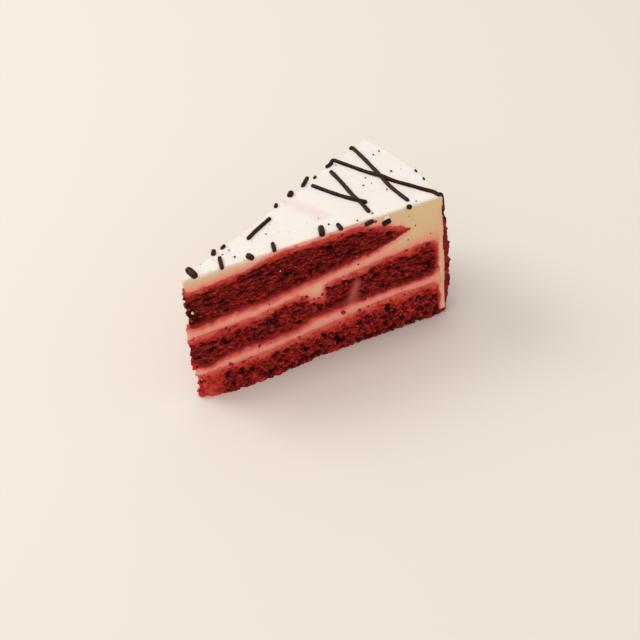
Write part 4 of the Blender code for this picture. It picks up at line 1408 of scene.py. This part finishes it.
def inner_spare(share):
    """Which way the icing runs on into the slice, as (radius, height): down, then inward at the rim."""
    turn = math.pi / 2.0 * smooth_step(TOP_SHARE, TURN_SHARE, share)
    return -SPARE * math.sin(turn), -SPARE * math.cos(turn)


def over_sponge_3(radius):
    """1 where the highest sponge lies under the icing, 0 where only cream does."""
    return 1.0 - smooth_step(SPONGE_3_RADIUS - 0.0012, SPONGE_3_RADIUS + 0.0003, radius)


def icing_border(radius, across, height, shift):
    """How far a place of the icing's cut face lies from its border with the layers, which wanders."""
    over = (height - sponge_3_top(radius, across)) / lean(sponge_3_top, radius, across)
    return max(over - (shift - TOP_DROP) * over_sponge_3(radius), -before_rim(radius, shift))


def cut_edge_rounding(from_cut, from_top, size):
    """Where a point near the icing's cut edge ends up on its rounding, as the same two distances."""
    if from_cut < ON_SKIN and from_top < size:
        angle = math.pi / 4.0 * (1.0 - from_top / size)
        return size * (1.0 - math.cos(angle)), size * (1.0 - math.sin(angle))
    if from_top < ON_SKIN and from_cut < size:
        angle = math.pi / 4.0 * (1.0 - from_cut / size)
        return size * (1.0 - math.sin(angle)), size * (1.0 - math.cos(angle))
    return from_cut, from_top


def blush_at(place):
    """How pink a place of the icing's top is, 0 to 1."""
    start, end = (from_cut_edge(*point, 0.0) for point in BLUSH_LINE)
    line = end - start
    flat = Vector((place.x, place.y, 0.0))
    share = min(max((flat - start).dot(line) / line.length_squared, 0.0), 1.0)
    away = (flat - start - line * share).length
    away += BLUSH_STRAY * noise.noise(flat / BLUSH_STRAY_SIZE)
    return 1.0 - smooth_step(0.2 * BLUSH_WIDTH, BLUSH_WIDTH, away)


def icing_piece(material):
    """The cream over the top and down the rim, with rounded cut edges."""
    skin = gridded_box(ICING_CELLS)
    stain, cut, blush = float_layers(skin, "stain", "cut", "blush")
    for corner in skin.verts:
        share, step, up = corner.co
        across = across_even(step)
        inner, outer = icing_section(share, across)
        aside, down = inner_spare(share)
        inner = (inner[0] + aside, inner[1] + down)
        thickness = math.hypot(outer[0] - inner[0], outer[1] - inner[1])
        width = (inner[0] + outer[0]) * math.sin(HALF_ANGLE)
        side = min(across, 1.0 - across) * width
        round_size = CUT_ROUNDING * (1.0 - RIM_SHARPER * smooth_step(TOP_SHARE, TURN_SHARE, share))
        from_cut, from_top = cut_edge_rounding(side, (1.0 - up) * thickness, round_size)
        if side < 1.5 * CUT_ROUNDING:
            across = from_cut / width if across < 0.5 else 1.0 - from_cut / width
        up = 1.0 - from_top / thickness
        radius = inner[0] + (outer[0] - inner[0]) * up
        height = inner[1] + (outer[1] - inner[1]) * up
        on_cut = step < ON_SKIN or step > 1.0 - ON_SKIN
        place = polar(radius, tip_rounded(radius - TIP_ICING, across), height)
        shift = border_wander(place)
        inside = icing_border(radius, across, height, shift)
        level = cream_relief(place) * thinness(radius) + ICING_PROUD
        by_sponge = max(over_sponge_3(radius), beside_sponge(radius, across, height))
        hidden = -inside * (CREAM_JOINT + (1.0 - CREAM_JOINT) * by_sponge)
        level -= dip(hidden - 2.0 * CREAM_LAP * by_sponge, radius)
        # The cut face is painted lighter near its top edge, as if lit from above, and the top's rounded
        # edge takes a little of the cut colour.
        cut_share_under_lit_edge = EDGE_CUT + (1.0 - EDGE_CUT) * smooth_step(0.0, lit_edge_depth(radius), from_top)
        cut_share_under_lit_edge += (1.0 - cut_share_under_lit_edge) * smooth_step(TOP_SHARE, TURN_SHARE, share)
        corner[stain] = STAIN_SKIRT if up < 0.02 else 0.0
        if on_cut or share > TURN_SHARE:
            corner[stain] = max(stain_at(radius, across, height, shift), skirt_stain(inside) * by_sponge)
        near_cut = EDGE_CUT * (1.0 - smooth_step(0.0, 1.2 * CUT_ROUNDING, side))
        corner[cut] = cut_share_under_lit_edge if on_cut or share < ON_SKIN else near_cut
        corner[blush] = blush_at(place) if up > 0.9 and share < TOP_SHARE else 0.0
        corner.co = place + outward(share, step) * level
    return new_piece("cream_icing", skin, material, "icing", "icing")


def lit_edge_depth(radius):
    """How far under the top edge the painted light on the cut cream reaches before it gets its full colour.
    """
    return LIT_EDGE_DEPTH - LIT_EDGE_DEPTH_LESS * smooth_step(0.03, 0.11, radius)


def make_cream():
    """The two fillings and the icing."""
    settings = bpy.context.scene.cake_slice.cream
    material = cream_material("stained_cream", settings)
    filling_piece(
        "cream_filling_lower", "filling_lower", TIP_CREAM_1, sponge_1_top, sponge_2_under, 0.0120, material,
    )
    filling_piece(
        "cream_filling_upper", "filling_upper", TIP_CREAM_2, sponge_2_top, sponge_3_under, 0.0135, material,
    )
    icing_piece(material)


# Crumbs on the rim

def coat_lumps(place):
    """How far the coat's own crumbs stand out, in metres."""
    bend = COAT_BEND * noise.noise_vector(place / COAT_BEND_SIZE)
    distances, centres = noise.voronoi(place / COAT_LUMP_SIZE + bend)
    size = 0.5 + 0.5 * noise.cell(centres[0])
    dome = math.sqrt(max(1.0 - (distances[0] / COAT_LUMP_WIDTH) ** 2, 0.0))
    return COAT_LUMP_HEIGHT * size * dome + COAT_GRIT * noise.fractal(place / COAT_GRIT_SIZE, 0.6, 2.0, 2)


def coat_sheet():
    """The coat itself, a rough sheet over the icing's rim, as corners, faces and tone."""
    sheet = gridded_box(COAT_CELLS)
    foot = RIM_ICING_FOOT - COAT_HANG
    for corner in sheet.verts:
        up, step, out = corner.co
        height = foot + (COAT_TOP - foot) * up
        across = COAT_SIDE_GAP + (1.0 - 2.0 * COAT_SIDE_GAP) * step
        inner = CAKE_RADIUS - COAT_BACKING
        place = polar(CAKE_RADIUS, across, height)
        swell = coat_swell(height)
        outer = rim_wall(height, across) - COAT_SINK + COAT_SWELL_OUT * swell
        outer += coat_lumps(place) * swell ** 0.6
        corner.co = polar(inner + (outer - inner) * out, across, height)
        if step < ON_SKIN or step > 1.0 - ON_SKIN:
            way = NEAR_OUTWARD if step < 0.5 else FAR_OUTWARD
            rough = 0.5 + noise.fractal(corner.co / COAT_SIDE_RAG_SIZE, 0.6, 2.0, 2)
            corner.co += way * (COAT_SIDE_RAG * smooth_step(0.0, 0.4, out) * rough + COAT_SIDE_PROUD)
    return *corners_and_faces(sheet), 0.0


def large_rim_crumbs():
    """The larger crumbs of the coat, in the same uneven rows as in the solid."""
    draw = random.Random(CRUMB_SEED)
    shade = random.Random(CRUMB_SEED + 1)
    low, high = CRUMB_BAND
    crumbs = []
    for row in range(CRUMB_ROWS):
        for step in range(CRUMBS_PER_ROW):
            size = draw.uniform(CRUMB_RADIUS_MIN, CRUMB_RADIUS_MAX)
            stagger = CRUMB_STAGGER * (row % 2 - 0.5) + draw.uniform(-CRUMB_JITTER, CRUMB_JITTER)
            across = (step + 0.5 + stagger) / CRUMBS_PER_ROW
            up = (row + 0.5 + draw.uniform(-CRUMB_JITTER, CRUMB_JITTER)) / CRUMB_ROWS
            height = low + (high - low) * up
            size *= CRUMB_END_SHARE + (1.0 - CRUMB_END_SHARE) * coat_swell(height)
            margin = size / (2.0 * CAKE_RADIUS * math.sin(HALF_ANGLE))
            across = min(max(across, margin), 1.0 - margin)
            centre = rim_wall(height, across) + size * CRUMB_FLATNESS - CRUMB_SINK
            facing = (2.0 * across - 1.0) * HALF_ANGLE
            spin = draw.uniform(0.0, math.pi)
            tilt = draw.uniform(-CRUMB_SWAY, CRUMB_SWAY)
            sway = draw.uniform(-CRUMB_SWAY, CRUMB_SWAY)
            turn = Euler((spin, tilt, facing + sway)).to_matrix()
            place = polar(centre, across, height)
            tone = shade.uniform(0.0, 0.25)
            crumbs.append(lump(0.92 * size, turn, place, 3, CRUMB_FLATNESS, 0.34, tone))
    return crumbs


def small_rim_crumbs():
    """Many small crumbs over the coat."""
    draw = random.Random(SMALL_SEED)
    crumbs = []
    for _ in range(bpy.context.scene.cake_slice.topping.small_crumbs):
        height = RIM_ICING_FOOT + (COAT_TOP - RIM_ICING_FOOT) * draw.random()
        swell = coat_swell(height)
        size = draw.uniform(0.00035, 0.00110) * (0.5 + 0.5 * swell)
        across = draw.uniform(SIDE_MARGIN, 1.0 - SIDE_MARGIN)
        out = min(draw.uniform(-0.0002, 0.0008), 0.5 * size + 0.0008 * swell)
        place = polar(rim_wall(height, across) + out, across, height)
        crumbs.append(lump(size, random_turn(draw), place, 2, 0.8, 0.4, draw.uniform(0.0, 0.4)))
    return crumbs


def make_rim_crumbs():
    """The coat of red crumbs on the rim."""
    skin = joined([coat_sheet()] + large_rim_crumbs() + small_rim_crumbs())
    material = loose_crumb_material("red_crumb_coat", bpy.context.scene.cake_slice.sponge)
    return new_piece("rim_crumb_coat", skin, material, "crumbs", "icing")


# Chocolate

def smooth_path(points, step=0.0006):
    """Points along a smooth curve through the given ones, an even step apart."""
    path = []
    ends = [2.0 * points[0] - points[1]] + list(points) + [2.0 * points[-1] - points[-2]]
    for before, start, end, after in zip(ends, ends[1:], ends[2:], ends[3:]):
        count = max(2, round((end - start).length / step))
        for index in range(count):
            t = index / count
            path.append(0.5 * (
                2.0 * start + (end - before) * t
                + (2.0 * before - 5.0 * start + 4.0 * end - after) * t * t
                + (3.0 * start - before - 3.0 * end + after) * t * t * t
            ))
    path.append(points[-1])
    return path


def hop_over(point, below):
    """How far a strand is lifted where it crosses one that was laid before it."""
    radius = bpy.context.scene.cake_slice.topping.strand_radius
    nearest = min(((point - p).to_2d().length for p in below), default=1.0)
    return HOP_SHARE * radius * (1.0 - smooth_step(0.4 * radius, 4.0 * radius, nearest))


def add_tube(skin, path, radius, seed):
    """Adds a strand of slightly uneven thickness with round ends to a mesh."""
    curve = bpy.data.curves.new("strand", "CURVE")
    curve.dimensions = "3D"
    curve.bevel_depth = radius
    curve.bevel_resolution = 4
    curve.use_fill_caps = True
    spline = curve.splines.new("POLY")
    spline.points.add(len(path) - 1)
    length = sum((b - a).length for a, b in zip(path, path[1:]))
    done = 0.0
    for index, point in enumerate(path):
        done += (point - path[index - 1]).length if index else 0.0
        from_end = min(done, length - done) / (1.2 * radius)
        round_end = math.sqrt(max(1.0 - (1.0 - min(from_end, 1.0)) ** 2, 0.02))
        uneven = 1.0 + STRAND_UNEVEN * noise.noise(Vector((done / STRAND_UNEVEN_SIZE, seed, 0.0)))
        spline.points[index].co = (*point, 1.0)
        spline.points[index].radius = round_end * uneven
    guide = linked("strand", curve)
    bpy.context.view_layer.update()
    mesh = bpy.data.meshes.new_from_object(guide.evaluated_get(bpy.context.evaluated_depsgraph_get()))
    skin.from_mesh(mesh)
    bpy.data.objects.remove(guide)
    bpy.data.curves.remove(curve)
    bpy.data.meshes.remove(mesh)


def make_strands():
    """The long chocolate strands. The second one runs over the rim's edge and a little way down."""
    settings = bpy.context.scene.cake_slice.topping
    radius = settings.strand_radius
    skin = bmesh.new()
    laid = []
    for index, places in enumerate(STRANDS):
        path = smooth_path([from_cut_edge(along, inward, 0.0) for along, inward in places])
        for point in path:
            wander = noise.noise_vector(point / STRAND_WANDER_SIZE) * STRAND_WANDER
            point.x += wander.x
            point.y += wander.y
            from_middle = math.hypot(point.x + ORIGIN_RADIUS, point.y)
            level = icing_top(from_middle, across_of(point))
            point.z = level + STRAND_LIFT * radius + hop_over(point, laid)
        if index == DRIP_STRAND:
            path += drip_path(path[-1], radius)
        laid += path
        add_tube(skin, path, radius, 3.7 * index)
    bmesh.ops.remove_doubles(skin, verts=skin.verts, dist=0.00001)
    material = chocolate_material("drizzled_chocolate", settings)
    return new_piece("chocolate_strands", skin, material, "chocolate", "icing")


def drip_path(start, radius):
    """The rest of the strand that runs over the edge, down the rim."""
    across = across_of(start)
    shoulder = EDGE_ROUNDING * (1.0 - math.sqrt(0.5))
    points = [
        start,
        polar(CAKE_RADIUS - shoulder + 0.2 * radius, across, CAKE_HEIGHT - shoulder + 0.2 * radius),
        polar(CAKE_RADIUS + 0.25 * radius, across, DRIP_TURN - 0.001),
        polar(CAKE_RADIUS + 0.25 * radius, across - 0.012, DRIP_TO),
    ]
    return smooth_path(points)[1:]


@lru_cache(maxsize=None)
def rod_ways():
    """Corners and faces of the ball that a rod is drawn out from."""
    skin = bmesh.new()
    bmesh.ops.create_uvsphere(skin, u_segments=16, v_segments=14, radius=1.0)
    return corners_and_faces(skin)


def rod(start, end, thickness):
    """A short chocolate piece as corners, faces and tone: a rod with blunt, rounded ends."""
    ways, faces = rod_ways()
    half_length = 0.5 * (end - start).length + PIECE_ROUND_END * thickness
    turn = (end - start).to_track_quat("Z", "Y").to_matrix()
    middle = (start + end) / 2.0
    corners = []
    for way in ways:
        flat = Vector((way.x, way.y, 0.0))
        if flat.length > 0.0:
            flat *= 0.5 * thickness * flat.length ** (PIECE_SIDE_BLUNTNESS - 1.0)
        along = math.copysign(abs(way.z) ** PIECE_END_BLUNTNESS, way.z) * half_length
        uneven = 1.0 + PIECE_UNEVEN * noise.noise(way * 1.6 + start / PIECE_UNEVEN_SIZE)
        corners.append(turn @ (flat * uneven + Vector((0.0, 0.0, along))) + middle)
    return corners, faces, 0.5


def make_short_pieces():
    """The short chocolate pieces on top, and those on the icing's -Y cut face."""
    rods = []
    for start, end, thickness in SHORT_PIECES:
        height = CAKE_HEIGHT + (0.5 - PIECE_SINK) * thickness
        ends = [from_cut_edge(along, inward, height) for along, inward in (start, end)]
        rods.append(rod(*ends, thickness))
    for start, end, thickness in FACE_PIECES:
        inward = -(0.5 - PIECE_SINK) * thickness
        ends = [from_cut_edge(along, inward, height) for along, height in (start, end)]
        rods.append(rod(*ends, thickness))
    material = chocolate_material("chocolate_rods", bpy.context.scene.cake_slice.topping)
    return new_piece("chocolate_short_pieces", joined(rods), material, "chocolate", "icing")


# Loose crumbs

def make_specks():
    """Specks of crumb on the top and on the cream's cut face."""
    draw = random.Random(SPECK_SEED)
    specks = []
    for along, inward in TOP_SPECKS:
        size = draw.uniform(0.00030, 0.00055)
        place = from_cut_edge(along, inward, CAKE_HEIGHT + 0.35 * size)
        specks.append(lump(size, random_turn(draw), place, 2, tone=0.0))
    for along, height, size in FACE_SPECKS:
        place = from_cut_edge(along, -0.3 * size, height)
        specks.append(lump(size, random_turn(draw), place, 2, tone=0.0))
    for along, height, size in CREAM_CRUMBS:
        place = from_cut_edge(along, -0.2 * size, height)
        specks.append(lump(size, random_turn(draw), place, 3, tone=0.45))
    for _ in range(FINE_SPECKS):
        size = draw.uniform(0.00012, 0.00024)
        along = draw.uniform(0.012, 0.125)
        inward = draw.uniform(0.0, 0.48 * along)
        place = from_cut_edge(along, inward, CAKE_HEIGHT)
        specks.append(lump(size, random_turn(draw), place, 1, tone=0.1))
    material = loose_crumb_material("red_specks", bpy.context.scene.cake_slice.sponge)
    return new_piece("crumb_specks", joined(specks), material, "crumbs")


def shed_crumb(draw, size, place, tones):
    """A crumb that has come off the cut sponge and hangs on, with a tone from the given span."""
    turn = random_turn(draw)
    return lump(size, turn, place, 2, SHED_CRUMB_FLATNESS, SHED_CRUMB_ROUGHNESS, draw.uniform(*tones))


def tip_crumbs(draw):
    """Crumbs that hang on at the foot of the tip, and along its ragged edge."""
    crumbs = []
    for _ in range(TIP_FOOT_CRUMBS):
        height = 0.0085 * draw.random()
        along = 0.0040 + 0.0030 * draw.random() + 0.08 * height
        size = draw.uniform(0.0006, 0.0013)
        place = from_cut_edge(along, draw.uniform(0.0002, 0.0014), max(height, size))
        crumbs.append(shed_crumb(draw, size, place, (0.5, 1.0)))
    for _ in range(TIP_EDGE_CRUMBS):
        height = draw.uniform(0.003, 0.066)
        if not in_sponge(0.006, 0.0, height):
            continue
        size = draw.uniform(0.0003, 0.0009)
        radius = TIP_CRUMB_RADIUS + tip_rag(0.0, height) + draw.uniform(0.0, 0.0010)
        place = polar(radius, draw.random(), height)
        crumbs.append(shed_crumb(draw, size, place, (0.1, 0.8)))
    return crumbs


def foot_crumbs(draw):
    """Crumbs that hang on along the foot of the rim, under the coat."""
    crumbs = []
    for _ in range(FOOT_CRUMBS):
        size = draw.uniform(0.0005, 0.0012)
        height = max(draw.uniform(0.0, FOOT_BAND), 1.1 * size)
        outer = CAKE_RADIUS - 0.3 * size
        inner = RIM_INNER - RIM_LAP if height < RIM_ICING_FOOT else outer
        place = polar(draw.uniform(inner, outer), draw.uniform(SIDE_MARGIN, 1.0 - SIDE_MARGIN), height)
        crumbs.append(lump(size, random_turn(draw), place, 2, 0.7, 0.45, draw.uniform(0.0, 0.4)))
    return crumbs


def make_edge_crumbs():
    """Crumbs that hang on at the tip, at the rim's foot and on the cut faces, most of them low down."""
    draw = random.Random(EDGE_SEED)
    crumbs = tip_crumbs(draw) + foot_crumbs(random.Random(FOOT_SEED))
    for _ in range(bpy.context.scene.cake_slice.topping.edge_crumbs):
        radius = draw.uniform(0.006, 0.127)
        heights = (draw.uniform(0.0006, 0.020), draw.uniform(0.0006, 0.020), draw.uniform(0.02, 0.070))
        height = draw.choice(heights)
        size = draw.uniform(0.0003, 0.0008)
        across = draw.choice((0.0, 1.0))
        if not in_sponge(radius, across, height):
            continue
        place = polar(radius, across, height) + NEAR_OUTWARD * foot_bow(radius, across, height)
        way = NEAR_OUTWARD if across < 0.5 else FAR_OUTWARD
        place += way * (coarse_relief(place) * thinness(radius) - 0.00005)
        place.z = max(place.z, size)
        crumbs.append(shed_crumb(draw, size, place, (0.0, 0.9)))
    material = loose_crumb_material("red_loose_crumb", bpy.context.scene.cake_slice.sponge)
    return new_piece("edge_crumbs", joined(crumbs), material, "crumbs")


def in_sponge(radius, across, height):
    """Whether a place lies in one of the sponges."""
    return any(
        under(radius, across) <= height <= over(radius, across) and radius < end
        for under, over, end in SPONGE_BODIES
    )


def make_cream_dots():
    """Small bits of cream on the sponge's cut face and over a chocolate piece."""
    draw = random.Random(DOT_SEED)
    dots = []
    for along, height, size in CREAM_DOTS:
        place = from_cut_edge(along, -DOT_PROUD, height)
        dots.append(lump(size, random_turn(draw), place, 3, 0.8, 0.2))
    material, tree, shader = new_material("cream_dot")
    settings = bpy.context.scene.cake_slice.cream
    value = noise_node(tree, object_place(tree), 900.0, 2.0)
    colour = mix_colours(tree, times(tree, value, 0.4), settings.outside, settings.cut)
    tree.links.new(colour, shader.inputs["Base Color"])
    shader.inputs["Roughness"].default_value = 0.45
    return new_piece("cream_dots", joined(dots), material, "icing")


# Stage

def add_floor(settings):
    """A plain pale floor."""
    mesh = bpy.data.meshes.new("floor")
    skin = bmesh.new()
    bmesh.ops.create_grid(skin, x_segments=4, y_segments=4, size=FLOOR_HALF_WIDTH)
    skin.to_mesh(mesh)
    skin.free()
    material, _, shader = new_material("pale_floor")
    shader.inputs["Base Color"].default_value = (*settings.floor_colour, 1.0)
    shader.inputs["Roughness"].default_value = 0.6
    shader.inputs["Specular IOR Level"].default_value = 0.2
    mesh.materials.append(material)
    floor = linked("floor", mesh)


def add_light(name, place, power, size, colour):
    """A large soft light at a place, turned to the slice."""
    data = bpy.data.lights.new(name, "AREA")
    data.energy = power
    data.size = size
    data.color = colour
    light = linked(name, data)
    light.location = place
    light.rotation_euler = (LIGHT_AIM - Vector(place)).to_track_quat("-Z", "Y").to_euler()


def add_camera(settings):
    """The camera at the photograph's angle, framed for a square picture."""
    away = Vector((
        math.sin(settings.azimuth) * math.cos(settings.elevation),
        -math.cos(settings.azimuth) * math.cos(settings.elevation),
        math.sin(settings.elevation),
    ))
    data = bpy.data.cameras.new("camera")
    data.lens = settings.lens * 1000.0
    data.sensor_width = SENSOR_WIDTH
    camera = linked("camera", data)
    camera.location = CAMERA_AIM + away * settings.distance
    turn = (-away).to_track_quat("-Z", "Y").to_matrix() @ Matrix.Rotation(settings.roll, 3, "Z")
    camera.rotation_euler = turn.to_euler()
    bpy.context.scene.camera = camera


def make_stage():
    """Floor, lights, surroundings and camera."""
    scene = bpy.context.scene
    settings = scene.cake_slice.stage
    add_floor(settings)
    add_light("key", (-0.55, 0.85, 1.05), settings.key_power, 0.7, (1.0, 0.975, 0.94))
    add_light("overhead", (0.0, 0.1, 1.5), settings.overhead_power, 0.55, (1.0, 0.985, 0.96))
    add_light("fill", (-0.7, -1.1, 0.7), settings.fill_power, 1.2, (1.0, 0.88, 0.74))
    world = bpy.data.worlds.new("surroundings")
    world.use_nodes = True
    background = world.node_tree.nodes["Background"]
    background.inputs["Color"].default_value = (*SURROUNDINGS_COLOUR, 1.0)
    background.inputs["Strength"].default_value = settings.sky
    scene.world = world
    scene.view_settings.view_transform = "Standard"
    add_camera(settings)


# Operators

class CAKE_OT_sponges(bpy.types.Operator):
    """Make the three red sponge layers with their pores and soaked edges"""

    bl_idname = "cake.sponges"
    bl_label = "Sponge layers"

    def execute(self, context):
        make_sponges()
        return {"FINISHED"}


class CAKE_OT_cream(bpy.types.Operator):
    """Make the two fillings and the icing"""

    bl_idname = "cake.cream"
    bl_label = "Fillings and icing"

    def execute(self, context):
        make_cream()
        return {"FINISHED"}


class CAKE_OT_rim_crumbs(bpy.types.Operator):
    """Make the coat of crumbs on the rim"""

    bl_idname = "cake.rim_crumbs"
    bl_label = "Rim crumbs"

    def execute(self, context):
        make_rim_crumbs()
        return {"FINISHED"}


class CAKE_OT_chocolate(bpy.types.Operator):
    """Make the chocolate strands and the short chocolate pieces"""

    bl_idname = "cake.chocolate"
    bl_label = "Chocolate"

    def execute(self, context):
        make_strands()
        make_short_pieces()
        return {"FINISHED"}


class CAKE_OT_loose_crumbs(bpy.types.Operator):
    """Make the specks, the loose crumbs at the edges and the dots of cream"""

    bl_idname = "cake.loose_crumbs"
    bl_label = "Loose crumbs"

    def execute(self, context):
        make_specks()
        make_edge_crumbs()
        make_cream_dots()
        return {"FINISHED"}


class CAKE_OT_stage(bpy.types.Operator):
    """Make the floor, the lights and the camera"""

    bl_idname = "cake.stage"
    bl_label = "Stage"

    def execute(self, context):
        make_stage()
        return {"FINISHED"}


class CAKE_PT_panel(bpy.types.Panel):
    """Lists the pieces of the slice and their settings"""

    bl_idname = "CAKE_PT_panel"
    bl_label = "Cake slice"
    bl_space_type = "VIEW_3D"
    bl_region_type = "UI"
    bl_category = "Cake slice"

    def draw(self, context):
        layout = self.layout
        for operator in OPERATORS:
            layout.operator(operator.bl_idname)
        settings = context.scene.cake_slice
        for group in (settings.sponge, settings.cream, settings.topping, settings.stage):
            box = layout.box()
            for name in group.__annotations__:
                box.prop(group, name)


OPERATORS = (
    CAKE_OT_sponges, CAKE_OT_cream, CAKE_OT_rim_crumbs, CAKE_OT_chocolate, CAKE_OT_loose_crumbs,
    CAKE_OT_stage,
)
CLASSES = (
    CakeSpongeSettings, CakeCreamSettings, CakeToppingSettings, CakeStageSettings, CakeSliceSettings,
    *OPERATORS, CAKE_PT_panel,
)


def register():
    for cls in CLASSES:
        bpy.utils.register_class(cls)
    bpy.types.Scene.cake_slice = PointerProperty(type=CakeSliceSettings)


def unregister():
    del bpy.types.Scene.cake_slice
    for cls in reversed(CLASSES):
        bpy.utils.unregister_class(cls)


def main():
    register()
    bpy.ops.cake.stage()
    bpy.ops.cake.sponges()
    bpy.ops.cake.cream()
    bpy.ops.cake.rim_crumbs()
    bpy.ops.cake.chocolate()
    bpy.ops.cake.loose_crumbs()


if __name__ == "__main__":
    main()
